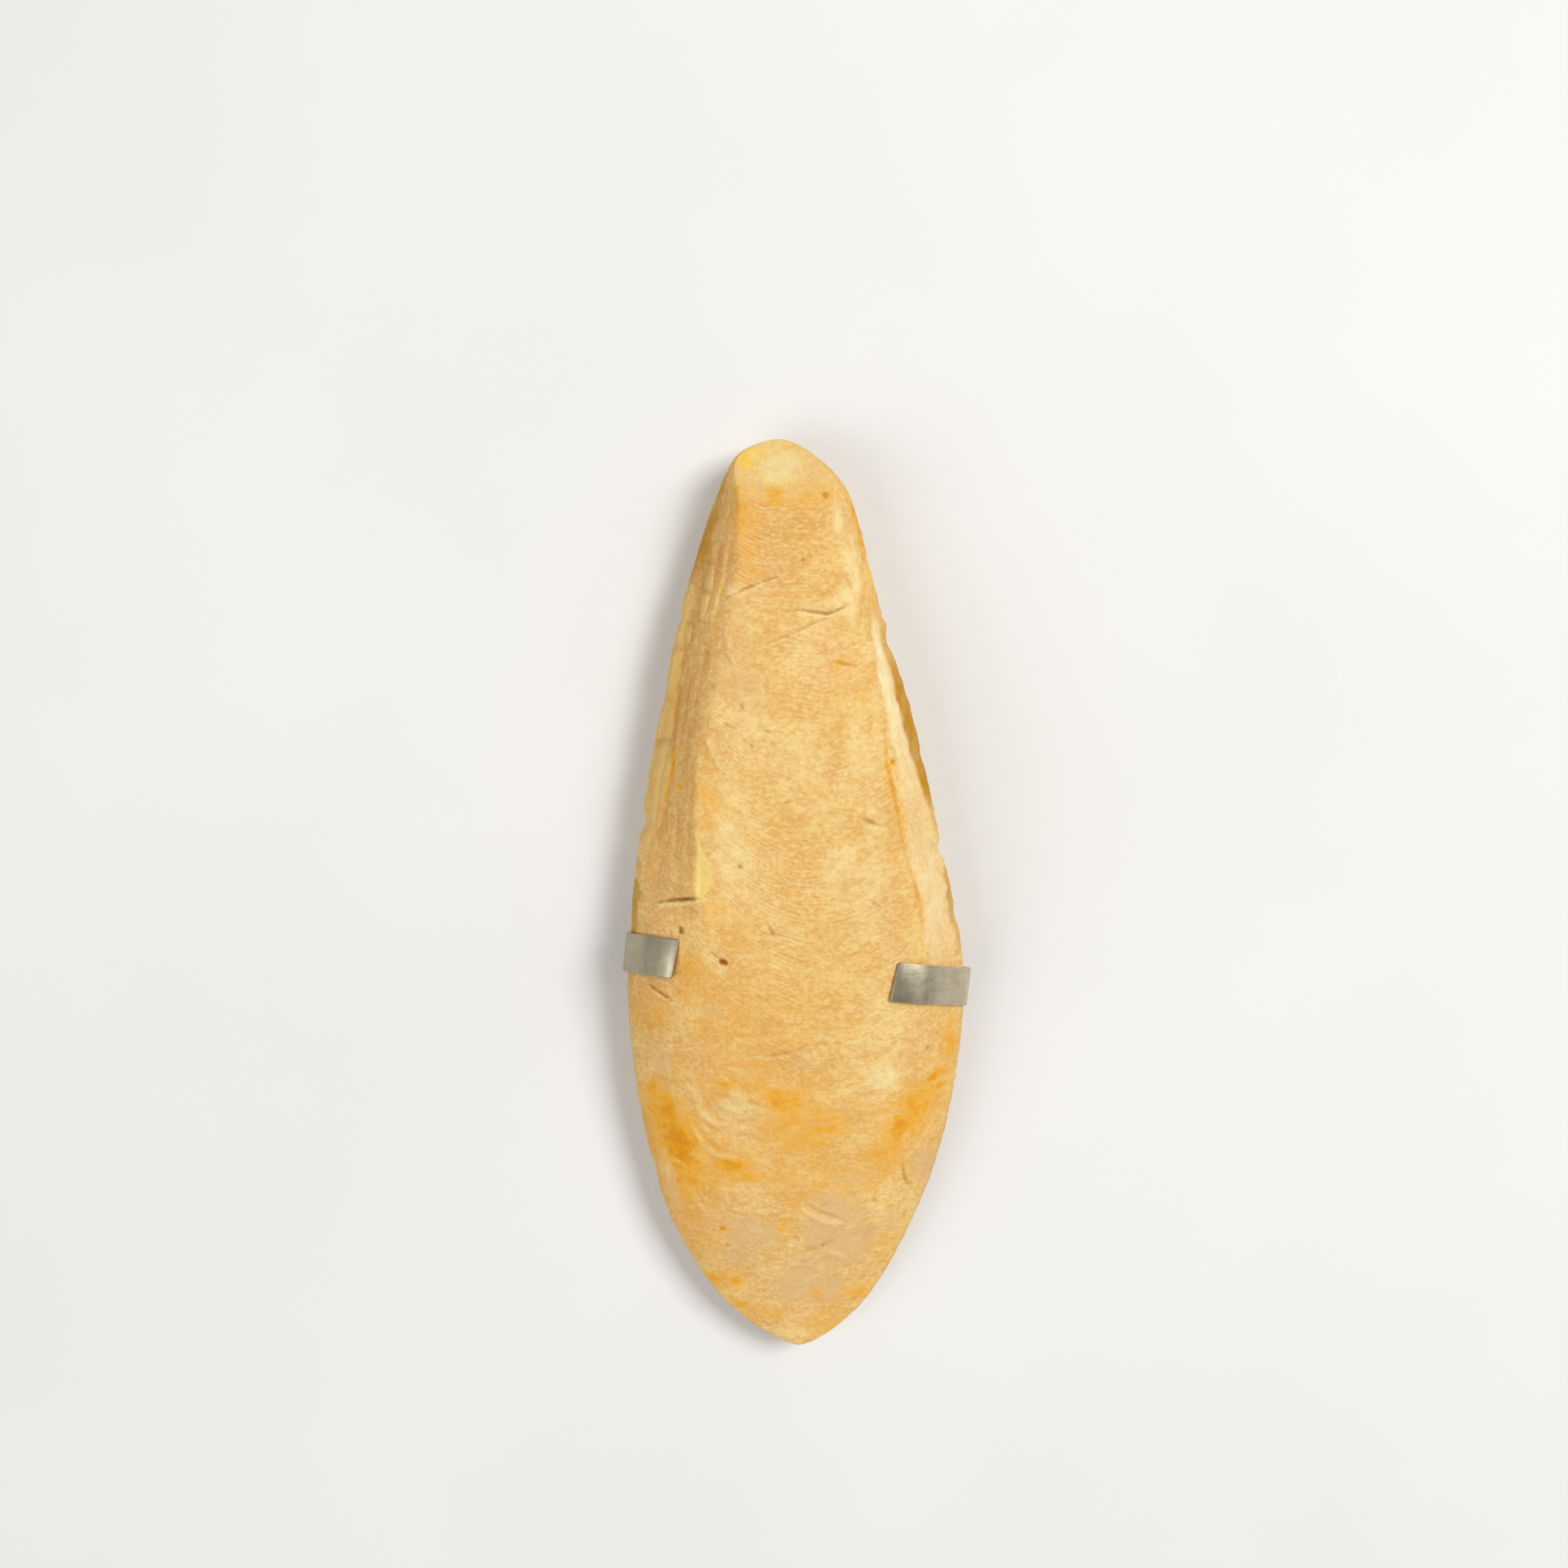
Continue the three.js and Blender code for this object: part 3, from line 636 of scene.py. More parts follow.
def growthLines(rows, x, y, plan):
    # every third row stands a little proud, in patches, and each line has its own strength
    order = np.arange(len(rows))
    strength = np.random.default_rng(5).uniform(0.5, 1.3, order[-1] // 3 + 1)[order // 3][:, None]
    proud = np.array(boneGrowth["profile"])[order % 3][:, None]
    patch = ease(roughNoise(x / 4, y / 6, 47, 3), -0.9, 0.4)
    broken = 0.7 + 0.6 * latticeNoise(x / 1.3, order[:, None] // 3 * 1.37, 53)
    leftMore = blendTo(*boneGrowth["leftMore"], ease(plan["across"], -0.5, 0.5))
    worn = 1 - 0.75 * ease(-x, 2, 9) * ease(-y, -6, 8)  # little is left of them below the left flank
    shown = worn * plan["onPanel"] * ease(y, *boneGrowth["fade"])
    return proud * strength * patch * broken * leftMore * shown


def cutChip(z, x, y, masks):
    # the long flat chip on the left ridge
    edgeX = columnsAt(y, ridgeChip["edge"])[0]
    level = faceHeight(y, facePlan(edgeX, y)) - (edgeX - x) * ridgeChip["slope"]
    low, high = ridgeChip["edge"][-1][0], ridgeChip["edge"][0][0]
    inChip = within(y, (low, low + 0.4), (high - 0.6, high))
    inChip = inChip * ease(x - spanAt(y)["leftRidge"], ridgeChip["from"] - 0.3, ridgeChip["from"])
    masks["chip"] = inChip * ease(edgeX - x, 0, 0.3)
    return z - np.maximum(z - level, 0) * inChip * (x < edgeX)


def cutCracks(z, x, y, masks):
    for route, fullWidth, depth, lip, dirtAndShade in boneCracks:
        gap, side, along = nearRoute(x, y, route)
        gap = np.maximum(gap + 0.09 * roughNoise(x * 1.3, y * 1.3, 71), 0)
        taper = endTaper(along)
        width = fullWidth * (0.2 + 0.8 * taper)
        groove = 1 - ease(gap / width, 0.05, 1)
        below = np.where(side < 0, 1, 0.15) * bell(gap - 1.3 * width, 0.8 * width)
        z = z + lip * below - depth * groove
        patchy = np.clip(0.9 + 0.4 * roughNoise(x / 1.6, y / 1.6, 75, 2), 0, 1)
        # the groove is filled in this mask: dirt, with painted shade in the crack
        deepen(masks, "dirtAndShade", dirtAndShade * groove * taper * patchy)
        # the raised lip below a crack is also painted pale: painted highlight
        deepen(masks, "pale", below * min(0.8, lip * 4))
    for pitX, pitY, radius, depth, dirtAndShade in bonePits:
        gap = np.hypot(x - pitX, y - pitY) / radius + 0.15 * roughNoise(x, y, 73, 2)
        hole = 1 - ease(gap, 0.1, 1.15)
        z = z - depth * hole
        deepen(masks, "dirtAndShade", dirtAndShade * hole)
    return z


def strokeOn(x, y, route, width):
    # a tapered line and the shadow side beside it
    gap, side, along = nearRoute(x, y, route)
    taper = endTaper(along)
    line = bell(gap, width) * taper
    beside = bell(gap - 1.7 * width, 0.8 * width) * taper * (side < 0)
    return line, beside


def addWrinkles(z, x, y, masks):
    wispAndShadow = np.zeros_like(x)
    for route, width, height in boneFolds:
        line, beside = strokeOn(x, y, smoothCurve(route, steps=6), width)
        # each fold's shaded side goes into the mask as a negative share: painted shadow
        fold = np.clip(0.7 + 0.8 * roughNoise(x / 1.4, y / 1.4, 77, 3), 0, 1) * (line - 0.5 * beside)
        z = z + height * fold
        wispAndShadow = wispAndShadow + min(0.8, height * 4) * fold
    random = np.random.default_rng(boneWisps["seed"])
    for _ in range(boneWisps["count"]):
        atY = random.uniform(*boneWisps["reach"])
        across = random.uniform(-0.9, 0.9)
        turn = math.radians(boneWisps["turn"] * across + random.normal(0, 18))
        half = random.uniform(*boneWisps["length"]) / 2
        width = random.uniform(*boneWisps["width"])
        strength = random.uniform(0.15, 0.6) * random.choice([1, 1, -0.9])
        bow = random.normal(0, 0.25) * half
        at = spanAt(atY)
        middle = np.array([at["middle"] + across * at["half"], atY])
        run = half * np.array([math.cos(turn), math.sin(turn)])
        bend = bow * np.array([-math.sin(turn), math.cos(turn)])
        near = (np.abs(x - middle[0]) < half + 1) & (np.abs(y - middle[1]) < half + 1)
        line, _ = strokeOn(x[near], y[near], [middle - run, middle + bend, middle + run], width)
        wispAndShadow[near] += strength * line
        z[near] += boneWisps["relief"] * strength * line
    masks["wispAndShadow"] = np.clip(wispAndShadow, -1, 1)
    return z


def addPlates(z, x, y, plan, masks):
    shake = roughNoise(x / 1.1, y / 1.6, 43, 3)
    past = plan["share"] + 0.03 * shake - columnsAt(y, marginPlates["edge"])[0]
    along = plan["onLeft"] * within(y, *marginPlates["reach"])
    plate = (1 - ease(past, -0.05, 0.02)) * along
    # plate borders, breaks between plates and the shaded side of loose plates get painted shade
    seamAndShade = bell(past - 0.04, 0.03) * along
    for breakY, depth in marginPlates["breaks"]:
        gap = depth * bell(y - breakY + 0.7 * shake, marginPlates["breakWidth"])
        seamAndShade = np.maximum(seamAndShade, 0.6 * gap * plate)
        plate = plate * (1 - gap)
    for plateX, plateY, halfWidth, halfLength in marginPlates["loose"]:
        gap = np.maximum(np.abs(x - plateX) / halfWidth, np.abs(y - plateY) / halfLength) + 0.1 * shake
        plate = np.maximum(plate, 1.3 * (1 - ease(gap, 0.85, 1.1)))
        shaded = x < plateX + 0.5 * halfWidth
        seamAndShade = np.maximum(seamAndShade, 0.8 * bell(gap - 1.25, 0.12) * shaded)
    masks["plate"] = np.clip(plate, 0, 1)
    deepen(masks, "seamAndShade", seamAndShade)
    return z + marginPlates["height"] * (plate - 0.6 * seamAndShade)


def trimNose(z, x, y, masks):
    # the slanted cut on the nose, its edge worn round
    trim = trimHeight(x, y) + 0.06 * roughNoise(x / 2, y / 2, 79, 3)
    soft = boneWear["trimRound"]
    under = np.clip(0.5 + 0.5 * (trim - z) / soft, 0, 1)
    masks["trim"] = (1 - under) * ease(y, 60, 66)
    return blendTo(trim, z, under) - soft * under * (1 - under)


def stainLines(x, y, ragged, masks):
    # a broad line has a softer border than a thin one
    rough = 0.4 * ragged + 0.5 * roughNoise(x / 0.7, y / 0.7, 91, 2)
    for route, width, strength in orangeLines:
        gap, _, along = nearRoute(x, y, route)
        gap = gap / width + rough * min(1, 0.4 + width / 2)
        border = 1.6 if width > 1.5 else 1.3
        streak = strength * (1 - ease(gap, 0, border)) * endTaper(along, 0.6)
        deepen(masks, "orange", streak)


def paintLitStrip(x, y, masks):
    # the painted light on the right flank fades out at its ends and outwards
    inner, outer, strength = columnsAt(y, litFlankStrip)
    fromInner = (x - inner) / (outer - inner) + 0.1 * roughNoise(x / 2, y / 1.6, 93, 3)
    low, high = litFlankStrip[-1][0], litFlankStrip[0][0]
    along = within(y, (low - 8, low + 6), (high - 3, high + 2))
    masks["strip"] = strength * along * within(fromInner, (-0.1, 0.2), (0.6, 1.3))


def stainMargin(y, plan, ragged, masks):
    # ochre runs along the right side, low on the left side and beside the nose
    stain = marginStain
    width = blendTo(*stain["width"], ease(y, *stain["widen"]))
    band = 1 - ease((plan["share"] + 0.07 * ragged) / width, *stain["border"])
    drift = stain["drift"] * roughNoise(plan["share"] * 5, y / 3, 95, 3)
    unbroken = ease(np.abs(y - stain["breakAt"]) + drift, *stain["breakReach"])
    onRight = ~plan["onLeft"] * within(y + drift, *stain["right"]) * unbroken
    onRight = onRight * blendTo(*stain["rightStrength"], ease(y, *stain["rightGrow"]))
    onLeft = plan["onLeft"] * within(y, *stain["left"]) * stain["leftStrength"]
    nearNose = plan["onLeft"] * within(y, *stain["nose"]) * stain["noseStrength"]
    masks["ochre"] = np.clip(band * (onRight + onLeft + nearNose + stain["least"]), 0, 1)


def stainFace(rows, x, y, plan, masks):
    ragged = roughNoise(x * 0.9, y * 0.35, 89)
    feather = roughNoise(x / 4.5, rows / 0.8, 81, 3)
    for name, stain in boneStains.items():
        deepen(masks, name, blot(x, y, feather, **stain))
    stainLines(x, y, ragged, masks)
    paintLitStrip(x, y, masks)
    stainMargin(y, plan, ragged, masks)
    masks["flank"] = plan["onFlank"] * plan["onLeft"]


def makeFace(rows):
    x, y, across = faceGrid(rows)
    plan = facePlan(x, y)
    plan["onFlank"] = plan["worn"] * within(plan["share"], (0.02, 0.12), (0.9, 1.08))
    plan["onPanel"] = ease(plan["share"], 1.02, 1.4)
    masks = {}
    z = faceHeight(y, plan)
    z = addLayers(z, x, y, plan, masks)
    z = addPlates(z, x, y, plan, masks)
    z = addSwells(z, x, y, plan)
    masks["crest"] = growthLines(rows, x, y, plan)
    fibre = roughNoise(x / 1.8 + 0.4 * y, rows / 0.55, 57, 3) * (1 - np.abs(across) ** 8)
    fibre = fibre * (1 - ease(y, *boneWear["fibreFade"]))
    fibre = fibre * ease(roughNoise(x / 5, y / 4, 59, 3), -0.6, 0.5)
    z = z + boneGrowth["relief"] * masks["crest"] + boneWear["fibre"] * fibre
    masks["crest"] = masks["crest"] + boneWear["fibreTone"] * fibre
    z = addWrinkles(z, x, y, masks)
    z = cutChip(z, x, y, masks)
    z = cutCracks(z, x, y, masks)
    z = trimNose(z, x, y, masks)
    masks["crest"] = masks["crest"] * (1 - masks["trim"])
    stainFace(rows, x, y, plan, masks)
    return np.stack([chipEdges(x, y, across), y, z], -1), masks


def makeRim(rows, sign):
    # the rounded hard margin, from the face round to the back
    turns = np.radians(boneGrowth["rimTurns"])
    start = rimEdge(rows, sign)
    across = sign * (np.abs(start) + (1 - np.abs(start)) * np.cos(turns))
    y = growthY(across, rows)
    at = spanAt(y)
    z = rim(y) + halfRim * np.sin(turns) + 0 * across
    x = chipEdges(at["middle"] + across * at["half"], y, across)
    return np.stack([x, y, z], -1)


def makeBack(rows):
    # the hard shield: a low middle rib between two shallow troughs, growth ridges and granules
    share = np.linspace(0, 1, boneGrowth["backColumns"])
    across = blendTo(rimEdge(rows, 1), rimEdge(rows, -1), share)
    y = growthY(across, rows)
    at = spanAt(y)
    x = at["middle"] + across * at["half"]
    z = blendTo(keel(y), rim(y) - halfRim, np.abs(across) ** boneForm["backPower"])
    inside = 1 - np.abs(across) ** 10
    relief = backRelief
    trough = bell(np.abs(across) - relief["troughAt"], relief["troughWidth"])
    trough = trough * ease(y, *relief["troughFade"])
    bowed = y + relief["ridgeBow"] * across**2 + roughNoise(x / 9, y / 9, 101, 2)
    ridges = 0.5 + 0.5 * np.sin(bowed * 2 * math.pi / relief["ridgePitch"])
    smooth = 1 - ease(roughNoise(x * 1.1, y * 1.1, 103, 2), 0.1, 0.7)
    z += inside * (relief["trough"] * trough + relief["ridge"] * ridges + relief["granule"] * smooth)
    x = chipEdges(x, y, across)
    return np.stack([x, y, z], -1)


def gridQuads(number):
    # quads between neighbouring rows and columns of point numbers
    return np.stack([number[:-1, :-1], number[:-1, 1:], number[1:, 1:], number[1:, :-1]], -1).reshape(-1, 4)


def boneMesh():
    rows = rowPlaces()
    face, masks = makeFace(rows)
    ring = np.concatenate([face, makeRim(rows, 1), makeRim(rows, -1)[:, ::-1]], axis=1)
    back = makeBack(rows[::3])
    rowCount, ringCount = ring.shape[:2]
    backRows, backCount = back.shape[:2]
    faceCount = face.shape[1]
    rimCount = len(boneGrowth["rimTurns"])
    ends = np.array([ring[0].mean(0), ring[-1].mean(0)])
    points = np.vstack([ring.reshape(-1, 3), back.reshape(-1, 3), ends])
    backStart = rowCount * ringCount
    tipPoint = backStart + backRows * backCount

    number = np.arange(rowCount * ringCount).reshape(rowCount, ringCount)
    # the left margin's points come last in each row and join its first point
    chain = np.hstack([number[:, faceCount + rimCount :], number[:, : faceCount + rimCount]])
    quads = gridQuads(chain)
    backNumber = backStart + np.arange(backRows * backCount).reshape(backRows, backCount)
    # each quad is split along its first diagonal, so the shorter one is put first
    corners = points[quads]
    firstLong = np.linalg.norm(corners[:, 0] - corners[:, 2], axis=1)
    turned = firstLong > np.linalg.norm(corners[:, 1] - corners[:, 3], axis=1)
    quads[turned] = np.roll(quads[turned], 1, axis=1)
    faces = quads.tolist() + gridQuads(backNumber).tolist()
    for i in range(backRows - 1):  # fine margin rows against every third row of the back
        rightRim = chain[3 * i : 3 * i + 4, -1].tolist()
        leftRim = chain[3 * i : 3 * i + 4, 0].tolist()
        faces.append([*rightRim[::-1], int(backNumber[i, 0]), int(backNumber[i + 1, 0])])
        faces.append([*leftRim, int(backNumber[i + 1, -1]), int(backNumber[i, -1])])
    tipRing = [*chain[0].tolist(), *backNumber[0].tolist()]
    noseRing = [*chain[-1].tolist(), *backNumber[-1].tolist()]
    for a, b in zip(tipRing, [*tipRing[1:], tipRing[0]]):
        faces.append([a, tipPoint, b])
    for a, b in zip(noseRing, [*noseRing[1:], noseRing[0]]):
        faces.append([a, b, tipPoint + 1])

    # the margin takes the values of the face's outer columns
    full = {name: np.zeros(len(points)) for name in (*masks, "hardBack")}
    for name, mask in masks.items():
        sides = np.repeat(mask[:, [-1]], rimCount, 1), np.repeat(mask[:, [0]], rimCount, 1)
        full[name][:backStart] = np.hstack([mask, *sides]).ravel()
    full["hardBack"][backStart:tipPoint] = 1
    return points, faces, full


def meshObject(name, points, faces):
    mesh = bpy.data.meshes.new(name)
    mesh.from_pydata((points * mm).tolist(), [], faces)
    mesh.validate()
    mesh.update()
    mesh.polygons.foreach_set("use_smooth", np.ones(len(mesh.polygons), bool))
    piece = bpy.data.objects.new(name, mesh)
    bpy.context.scene.collection.objects.link(piece)
    return piece


def boneShift():
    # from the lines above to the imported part: the middle of the outline goes to the middle of the node
    low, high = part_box("bone")
    middle = (np.array(low) + np.array(high)) / 2 / mm
    sketchX = (leftSide[:, 0].min() + rightSide[:, 0].max()) / 2
    return np.array([middle[0] - sketchX, middle[1] - (tipY + noseY) / 2, 0])


shift = boneShift()
bonePoints, boneFaces, boneMasks = boneMesh()
bone = meshObject("cuttlebone", bonePoints + shift, boneFaces)
for maskName, maskValues in boneMasks.items():
    layer = bone.data.attributes.new(maskName, "FLOAT", "POINT")
    layer.data.foreach_set("value", maskValues.astype(np.float32))
print("bone:", len(bonePoints), "points,", sum(len(face) - 2 for face in boneFaces), "triangles")


# hanging clip, pulled tight round the finished bone

clipForm = {
    "width": 6.4,
    "thickness": 0.5,
    "gap": 0.1,
    "centreY": -11.8,
    "skew": math.radians(-7.2),
    "lean": 0.17,
    "leftTabEnd": -18.6,
    "rightTabEnd": 15.7,
    "plateHalf": 8,
    "plateBlend": 9,
    "earReach": 25,
    "edgeRound": 0.14,
    "cornerRound": 0.45,
    "curl": 0.26,  # tab ends are pinched down by this much
    "curlLength": 1.1,
    "endSlant": 0.09,  # tab ends are cut a little askew
    "step": 0.5,
    "rightPaintedShade": ((11, 13), (17, 19)),  # stretches of the two tabs painted darker as shade, from the middle outwards
    "leftPaintedShade": (17, 18),
    "leftPaintedShadeShare": 0.8,
}


skewCos, skewSin = math.cos(clipForm["skew"]), math.sin(clipForm["skew"])


def onStrip(p, w, z):
    # from along and across the strip to the bone's own directions
    leant = w + clipForm["lean"] * z
    x = p * skewCos - leant * skewSin
    y = clipForm["centreY"] + p * skewSin + leant * skewCos
    return np.stack([x, y, z + 0 * p], -1)


def underStrip(points):
    # the bone's points below the strip, as (p, z)
    x, y, z = points[:, 0], points[:, 1] - clipForm["centreY"], points[:, 2]
    p = x * skewCos + y * skewSin
    w = -x * skewSin + y * skewCos - clipForm["lean"] * z
    return np.stack([p, z], -1)[np.abs(w) < clipForm["width"] / 2 + 0.2]


def gripLine(points):
    cloud = underStrip(points)
    turns = np.radians(np.arange(90, 451, 3))
    out = np.stack([np.cos(turns), np.sin(turns)], -1)
    hull = cloud[np.argmax(cloud @ out.T, axis=0)] + out * clipForm["gap"]
    length = lengthAlong(hull)
    even = np.arange(0, length[-1], 0.25)
    line = np.stack([np.interp(even, length, hull[:, i]) for i in (0, 1)], -1)
    opened = (line[:, 0] > clipForm["leftTabEnd"]) & (line[:, 0] < clipForm["rightTabEnd"])
    return line[~(opened & (line[:, 1] > rim(clipForm["centreY"])))]


def offsetLine(line, distance, plateHeight):
    along = np.gradient(line, axis=0)
    along /= np.linalg.norm(along, axis=1, keepdims=True)
    moved = line + distance * np.stack([along[:, 1], -along[:, 0]], -1)
    onBack = line[:, 1] < rim(clipForm["centreY"])
    reach = clipForm["plateHalf"], clipForm["plateHalf"] + clipForm["plateBlend"]
    flat = np.where(onBack, 1 - ease(np.abs(line[:, 0]), *reach), 0)
    moved[:, 1] = blendTo(moved[:, 1], plateHeight, flat)
    return moved


def roundedBar(half, thickness, edge):
    # section of the sheet: (across, share of thickness), counter-clockwise
    corner = np.radians([0, 30, 60, 90])
    dots = []
    for signW, signN, first in ((1, -1, -90), (1, 1, 0), (-1, 1, 90), (-1, -1, 180)):
        turn = math.radians(first) + corner
        middleN = thickness / 2 + signN * (thickness / 2 - edge)
        for angle in turn:
            dots.append((signW * (half - edge) + edge * math.cos(angle), middleN + edge * math.sin(angle)))
    return np.array(dots)


def stripMesh(points):
    line = gripLine(points)
    inner = offsetLine(line, 0, clipForm["thickness"])
    outer = offsetLine(line, clipForm["thickness"], 0)
    length = lengthAlong(line)
    total = length[-1]
    endSteps = clipForm["cornerRound"] * (1 - np.cos(np.radians(np.arange(0, 91, 15))))
    crease = clipForm["curlLength"] + np.array([-0.06, 0.06])
    middle = np.arange(crease[1], total - crease[1], clipForm["step"])[1:-1]
    stations = np.concatenate([endSteps, crease, middle, total - crease[::-1], total - endSteps[::-1]])
    rings = []
    for station in stations:
        toEnd = min(station, total - station)
        corner = clipForm["cornerRound"]
        short = max(corner - toEnd, 0)
        half = clipForm["width"] / 2 - corner + math.sqrt(max(corner**2 - short**2, 0))
        half = max(half, clipForm["width"] / 2 - corner + 0.02)
        section = roundedBar(half, clipForm["thickness"], clipForm["edgeRound"])
        into = section[:, 1] / clipForm["thickness"]
        bend = clipForm["curl"] * max(1 - toEnd / clipForm["curlLength"], 0)
        p, z = (
            blendTo(np.interp(station, length, inner[:, i]), np.interp(station, length, outer[:, i]), into)
            for i in (0, 1)
        )
        p = p + clipForm["endSlant"] * section[:, 0] * (1 - ease(toEnd, 0, 3))
        rings.append(onStrip(p, section[:, 0], z - bend))
    return ringSkin(np.array(rings))


def ringSkin(rings):
    # closed skin over equal rings, capped at both ends
    rowCount, ringCount = rings.shape[:2]
    number = np.arange(rowCount * ringCount).reshape(rowCount, ringCount)
    quads = gridQuads(np.hstack([number, number[:, :1]]))
    caps = [number[0][::-1].tolist(), number[-1].tolist()]
    return rings.reshape(-1, 3), quads.tolist() + caps


def earsMesh():
    # one round-ended flat bar across the strip, edges rounded like the strip's
    half = clipForm["width"] / 2
    straight = clipForm["earReach"] - half
    turns = np.radians(np.arange(0, 181, 10))
    edge = clipForm["edgeRound"]
    thickness = clipForm["thickness"]
    levels = [(edge, 0), (edge * 0.3, edge * 0.3), (0, edge), (0, thickness - edge),
              (edge * 0.3, thickness - edge * 0.3), (edge, thickness)]
    rings = []
    for inset, z in levels:
        radius = half - inset
        upper = np.stack([radius * np.cos(turns), straight + radius * np.sin(turns)], -1)
        around = np.vstack([upper, -upper])
        rings.append(onStrip(around[:, 0], around[:, 1], z))
    return ringSkin(np.array(rings))


def joinSolids(first, second):
    union = first.modifiers.new("join", "BOOLEAN")
    union.operation = "UNION"
    union.solver = "EXACT"
    union.object = second
    joined = bpy.data.meshes.new_from_object(first.evaluated_get(bpy.context.evaluated_depsgraph_get()))
    first.modifiers.clear()
    first.data = joined
    bpy.data.objects.remove(second)


stripPoints, stripFaces = stripMesh(bonePoints)
earPoints, earFaces = earsMesh()
clip = meshObject("clip_strip", stripPoints + shift, stripFaces)
ears = meshObject("clip_ears", earPoints + shift, earFaces)
joinSolids(clip, ears)
clip.data.set_sharp_from_angle(angle=math.radians(50))
clipX = np.array([vertex.co.x for vertex in clip.data.vertices]) / mm
# the tabs are painted darker where they turn away from the lamp: painted shade
shadeLayer = clip.data.attributes.new("paintedShade", "FLOAT", "POINT")
paintedShade = within(clipX, *clipForm["rightPaintedShade"])
paintedShade = paintedShade + clipForm["leftPaintedShadeShare"] * ease(-clipX, *clipForm["leftPaintedShade"])
shadeLayer.data.foreach_set("value", paintedShade)
print("clip:", len(clip.data.vertices), "points")


# materials

def srgb(red, green, blue):
    def linear(value):
        value /= 255
        return value / 12.92 if value <= 0.04045 else ((value + 0.055) / 1.055) ** 2.4
    return (linear(red), linear(green), linear(blue), 1)


def feed(tree, socket, value):
    if isinstance(value, bpy.types.NodeSocket):
        tree.links.new(value, socket)
    else:
        socket.default_value = value


def addNode(tree, kind, given, **settings):
    # one shader node: settings first, as they decide which inputs are in use
    node = tree.nodes.new("ShaderNode" + kind)
    for name, value in settings.items():
        setattr(node, name, value)
    for name, value in given.items():
        feed(tree, node.inputs[name], value)
    return node.outputs


def mottleGroup():
    # ragged mask from noise over the object: used on bone and metal alike
    group = bpy.data.node_groups.new("mottle", "ShaderNodeTree")
    for name in ("Scale", "Detail", "Low", "High"):
        group.interface.new_socket(name, in_out="INPUT", socket_type="NodeSocketFloat")
    group.interface.new_socket("Stretch", in_out="INPUT", socket_type="NodeSocketVector")
    group.interface.new_socket("Mask", in_out="OUTPUT", socket_type="NodeSocketFloat")
    given = group.nodes.new("NodeGroupInput").outputs
    place = addNode(group, "TexCoord", {})["Object"]
    place = addNode(group, "VectorMath", {0: place, 1: given["Stretch"]}, operation="MULTIPLY")[0]
    noise = {"Vector": place, "Scale": given["Scale"], "Detail": given["Detail"]}
    noise = addNode(group, "TexNoise", noise)["Fac"]
    ramp = {"Value": noise, "From Min": given["Low"], "From Max": given["High"]}
    ramp = addNode(group, "MapRange", ramp, interpolation_type="SMOOTHSTEP")["Result"]
    group.links.new(ramp, group.nodes.new("NodeGroupOutput").inputs["Mask"])
    return group


mottle = mottleGroup()


class Material:
    # a node material with short ways to place what these finishes use
    def __init__(self, name):
        self.material = bpy.data.materials.new(name)
        self.material.use_nodes = True
        self.tree = self.material.node_tree
        self.shader = self.tree.nodes["Principled BSDF"]

    def mottle(self, scale, low, high, stretch=(1, 1, 1), detail=4.0):
        given = {"Scale": scale, "Low": low, "High": high, "Detail": detail, "Stretch": stretch}
        return addNode(self.tree, "Group", given, node_tree=mottle)["Mask"]

    def mask(self, name):
        return addNode(self.tree, "Attribute", {}, attribute_name=name)["Fac"]

    def math(self, operation, first, second, clamp=False):
        given = {0: first, 1: second}
        return addNode(self.tree, "Math", given, operation=operation, use_clamp=clamp)[0]

    def tint(self, share, under, over):
        given = {"Factor": share, "A": under, "B": over}
        return addNode(self.tree, "Mix", given, data_type="RGBA", clamp_factor=True)["Result"]

    def breakUp(self, name, noise, low, high):
        # share of a stain whose border is broken up by a noise mask
        stain = self.math("ADD", self.mask(name), self.spread(noise, -0.2, 0.2))
        given = {"Value": stain, "From Min": low, "From Max": high}
        return addNode(self.tree, "MapRange", given, interpolation_type="SMOOTHSTEP")["Result"]

    def spread(self, value, low, high):
        given = {"Value": value, "To Min": low, "To Max": high}
        return addNode(self.tree, "MapRange", given)["Result"]

    def bump(self, height, strength, distance, finer=None):
        given = {"Height": height, "Strength": strength, "Distance": distance}
        if finer is not None:
            given["Normal"] = finer
        return addNode(self.tree, "Bump", given)["Normal"]

    def set(self, name, value):
        feed(self.tree, self.shader.inputs[name], value)


boneColours = {
    "cream": srgb(241, 205, 129),
    "peach": srgb(231, 181, 102),
    "tan": srgb(219, 162, 80),
    "pink": srgb(232, 178, 114),
    "speck": srgb(212, 152, 76),
    "groove": srgb(208, 152, 80),
    "haze": srgb(236, 173, 70),
    "gold": srgb(243, 176, 36),
    "orange": srgb(220, 140, 8),
    "yellow": srgb(249, 203, 82),
    "pale": srgb(246, 222, 158),
    "plaster": srgb(225, 184, 125),
    "bright": srgb(252, 234, 184),
    "plate": srgb(234, 199, 122),
    "chip": srgb(247, 216, 128),
    "ochre": srgb(190, 133, 6),
    "brown": srgb(172, 112, 38),
    "dark": srgb(108, 66, 10),
    "flank": srgb(226, 170, 90),
    "back": srgb(242, 222, 186),
}


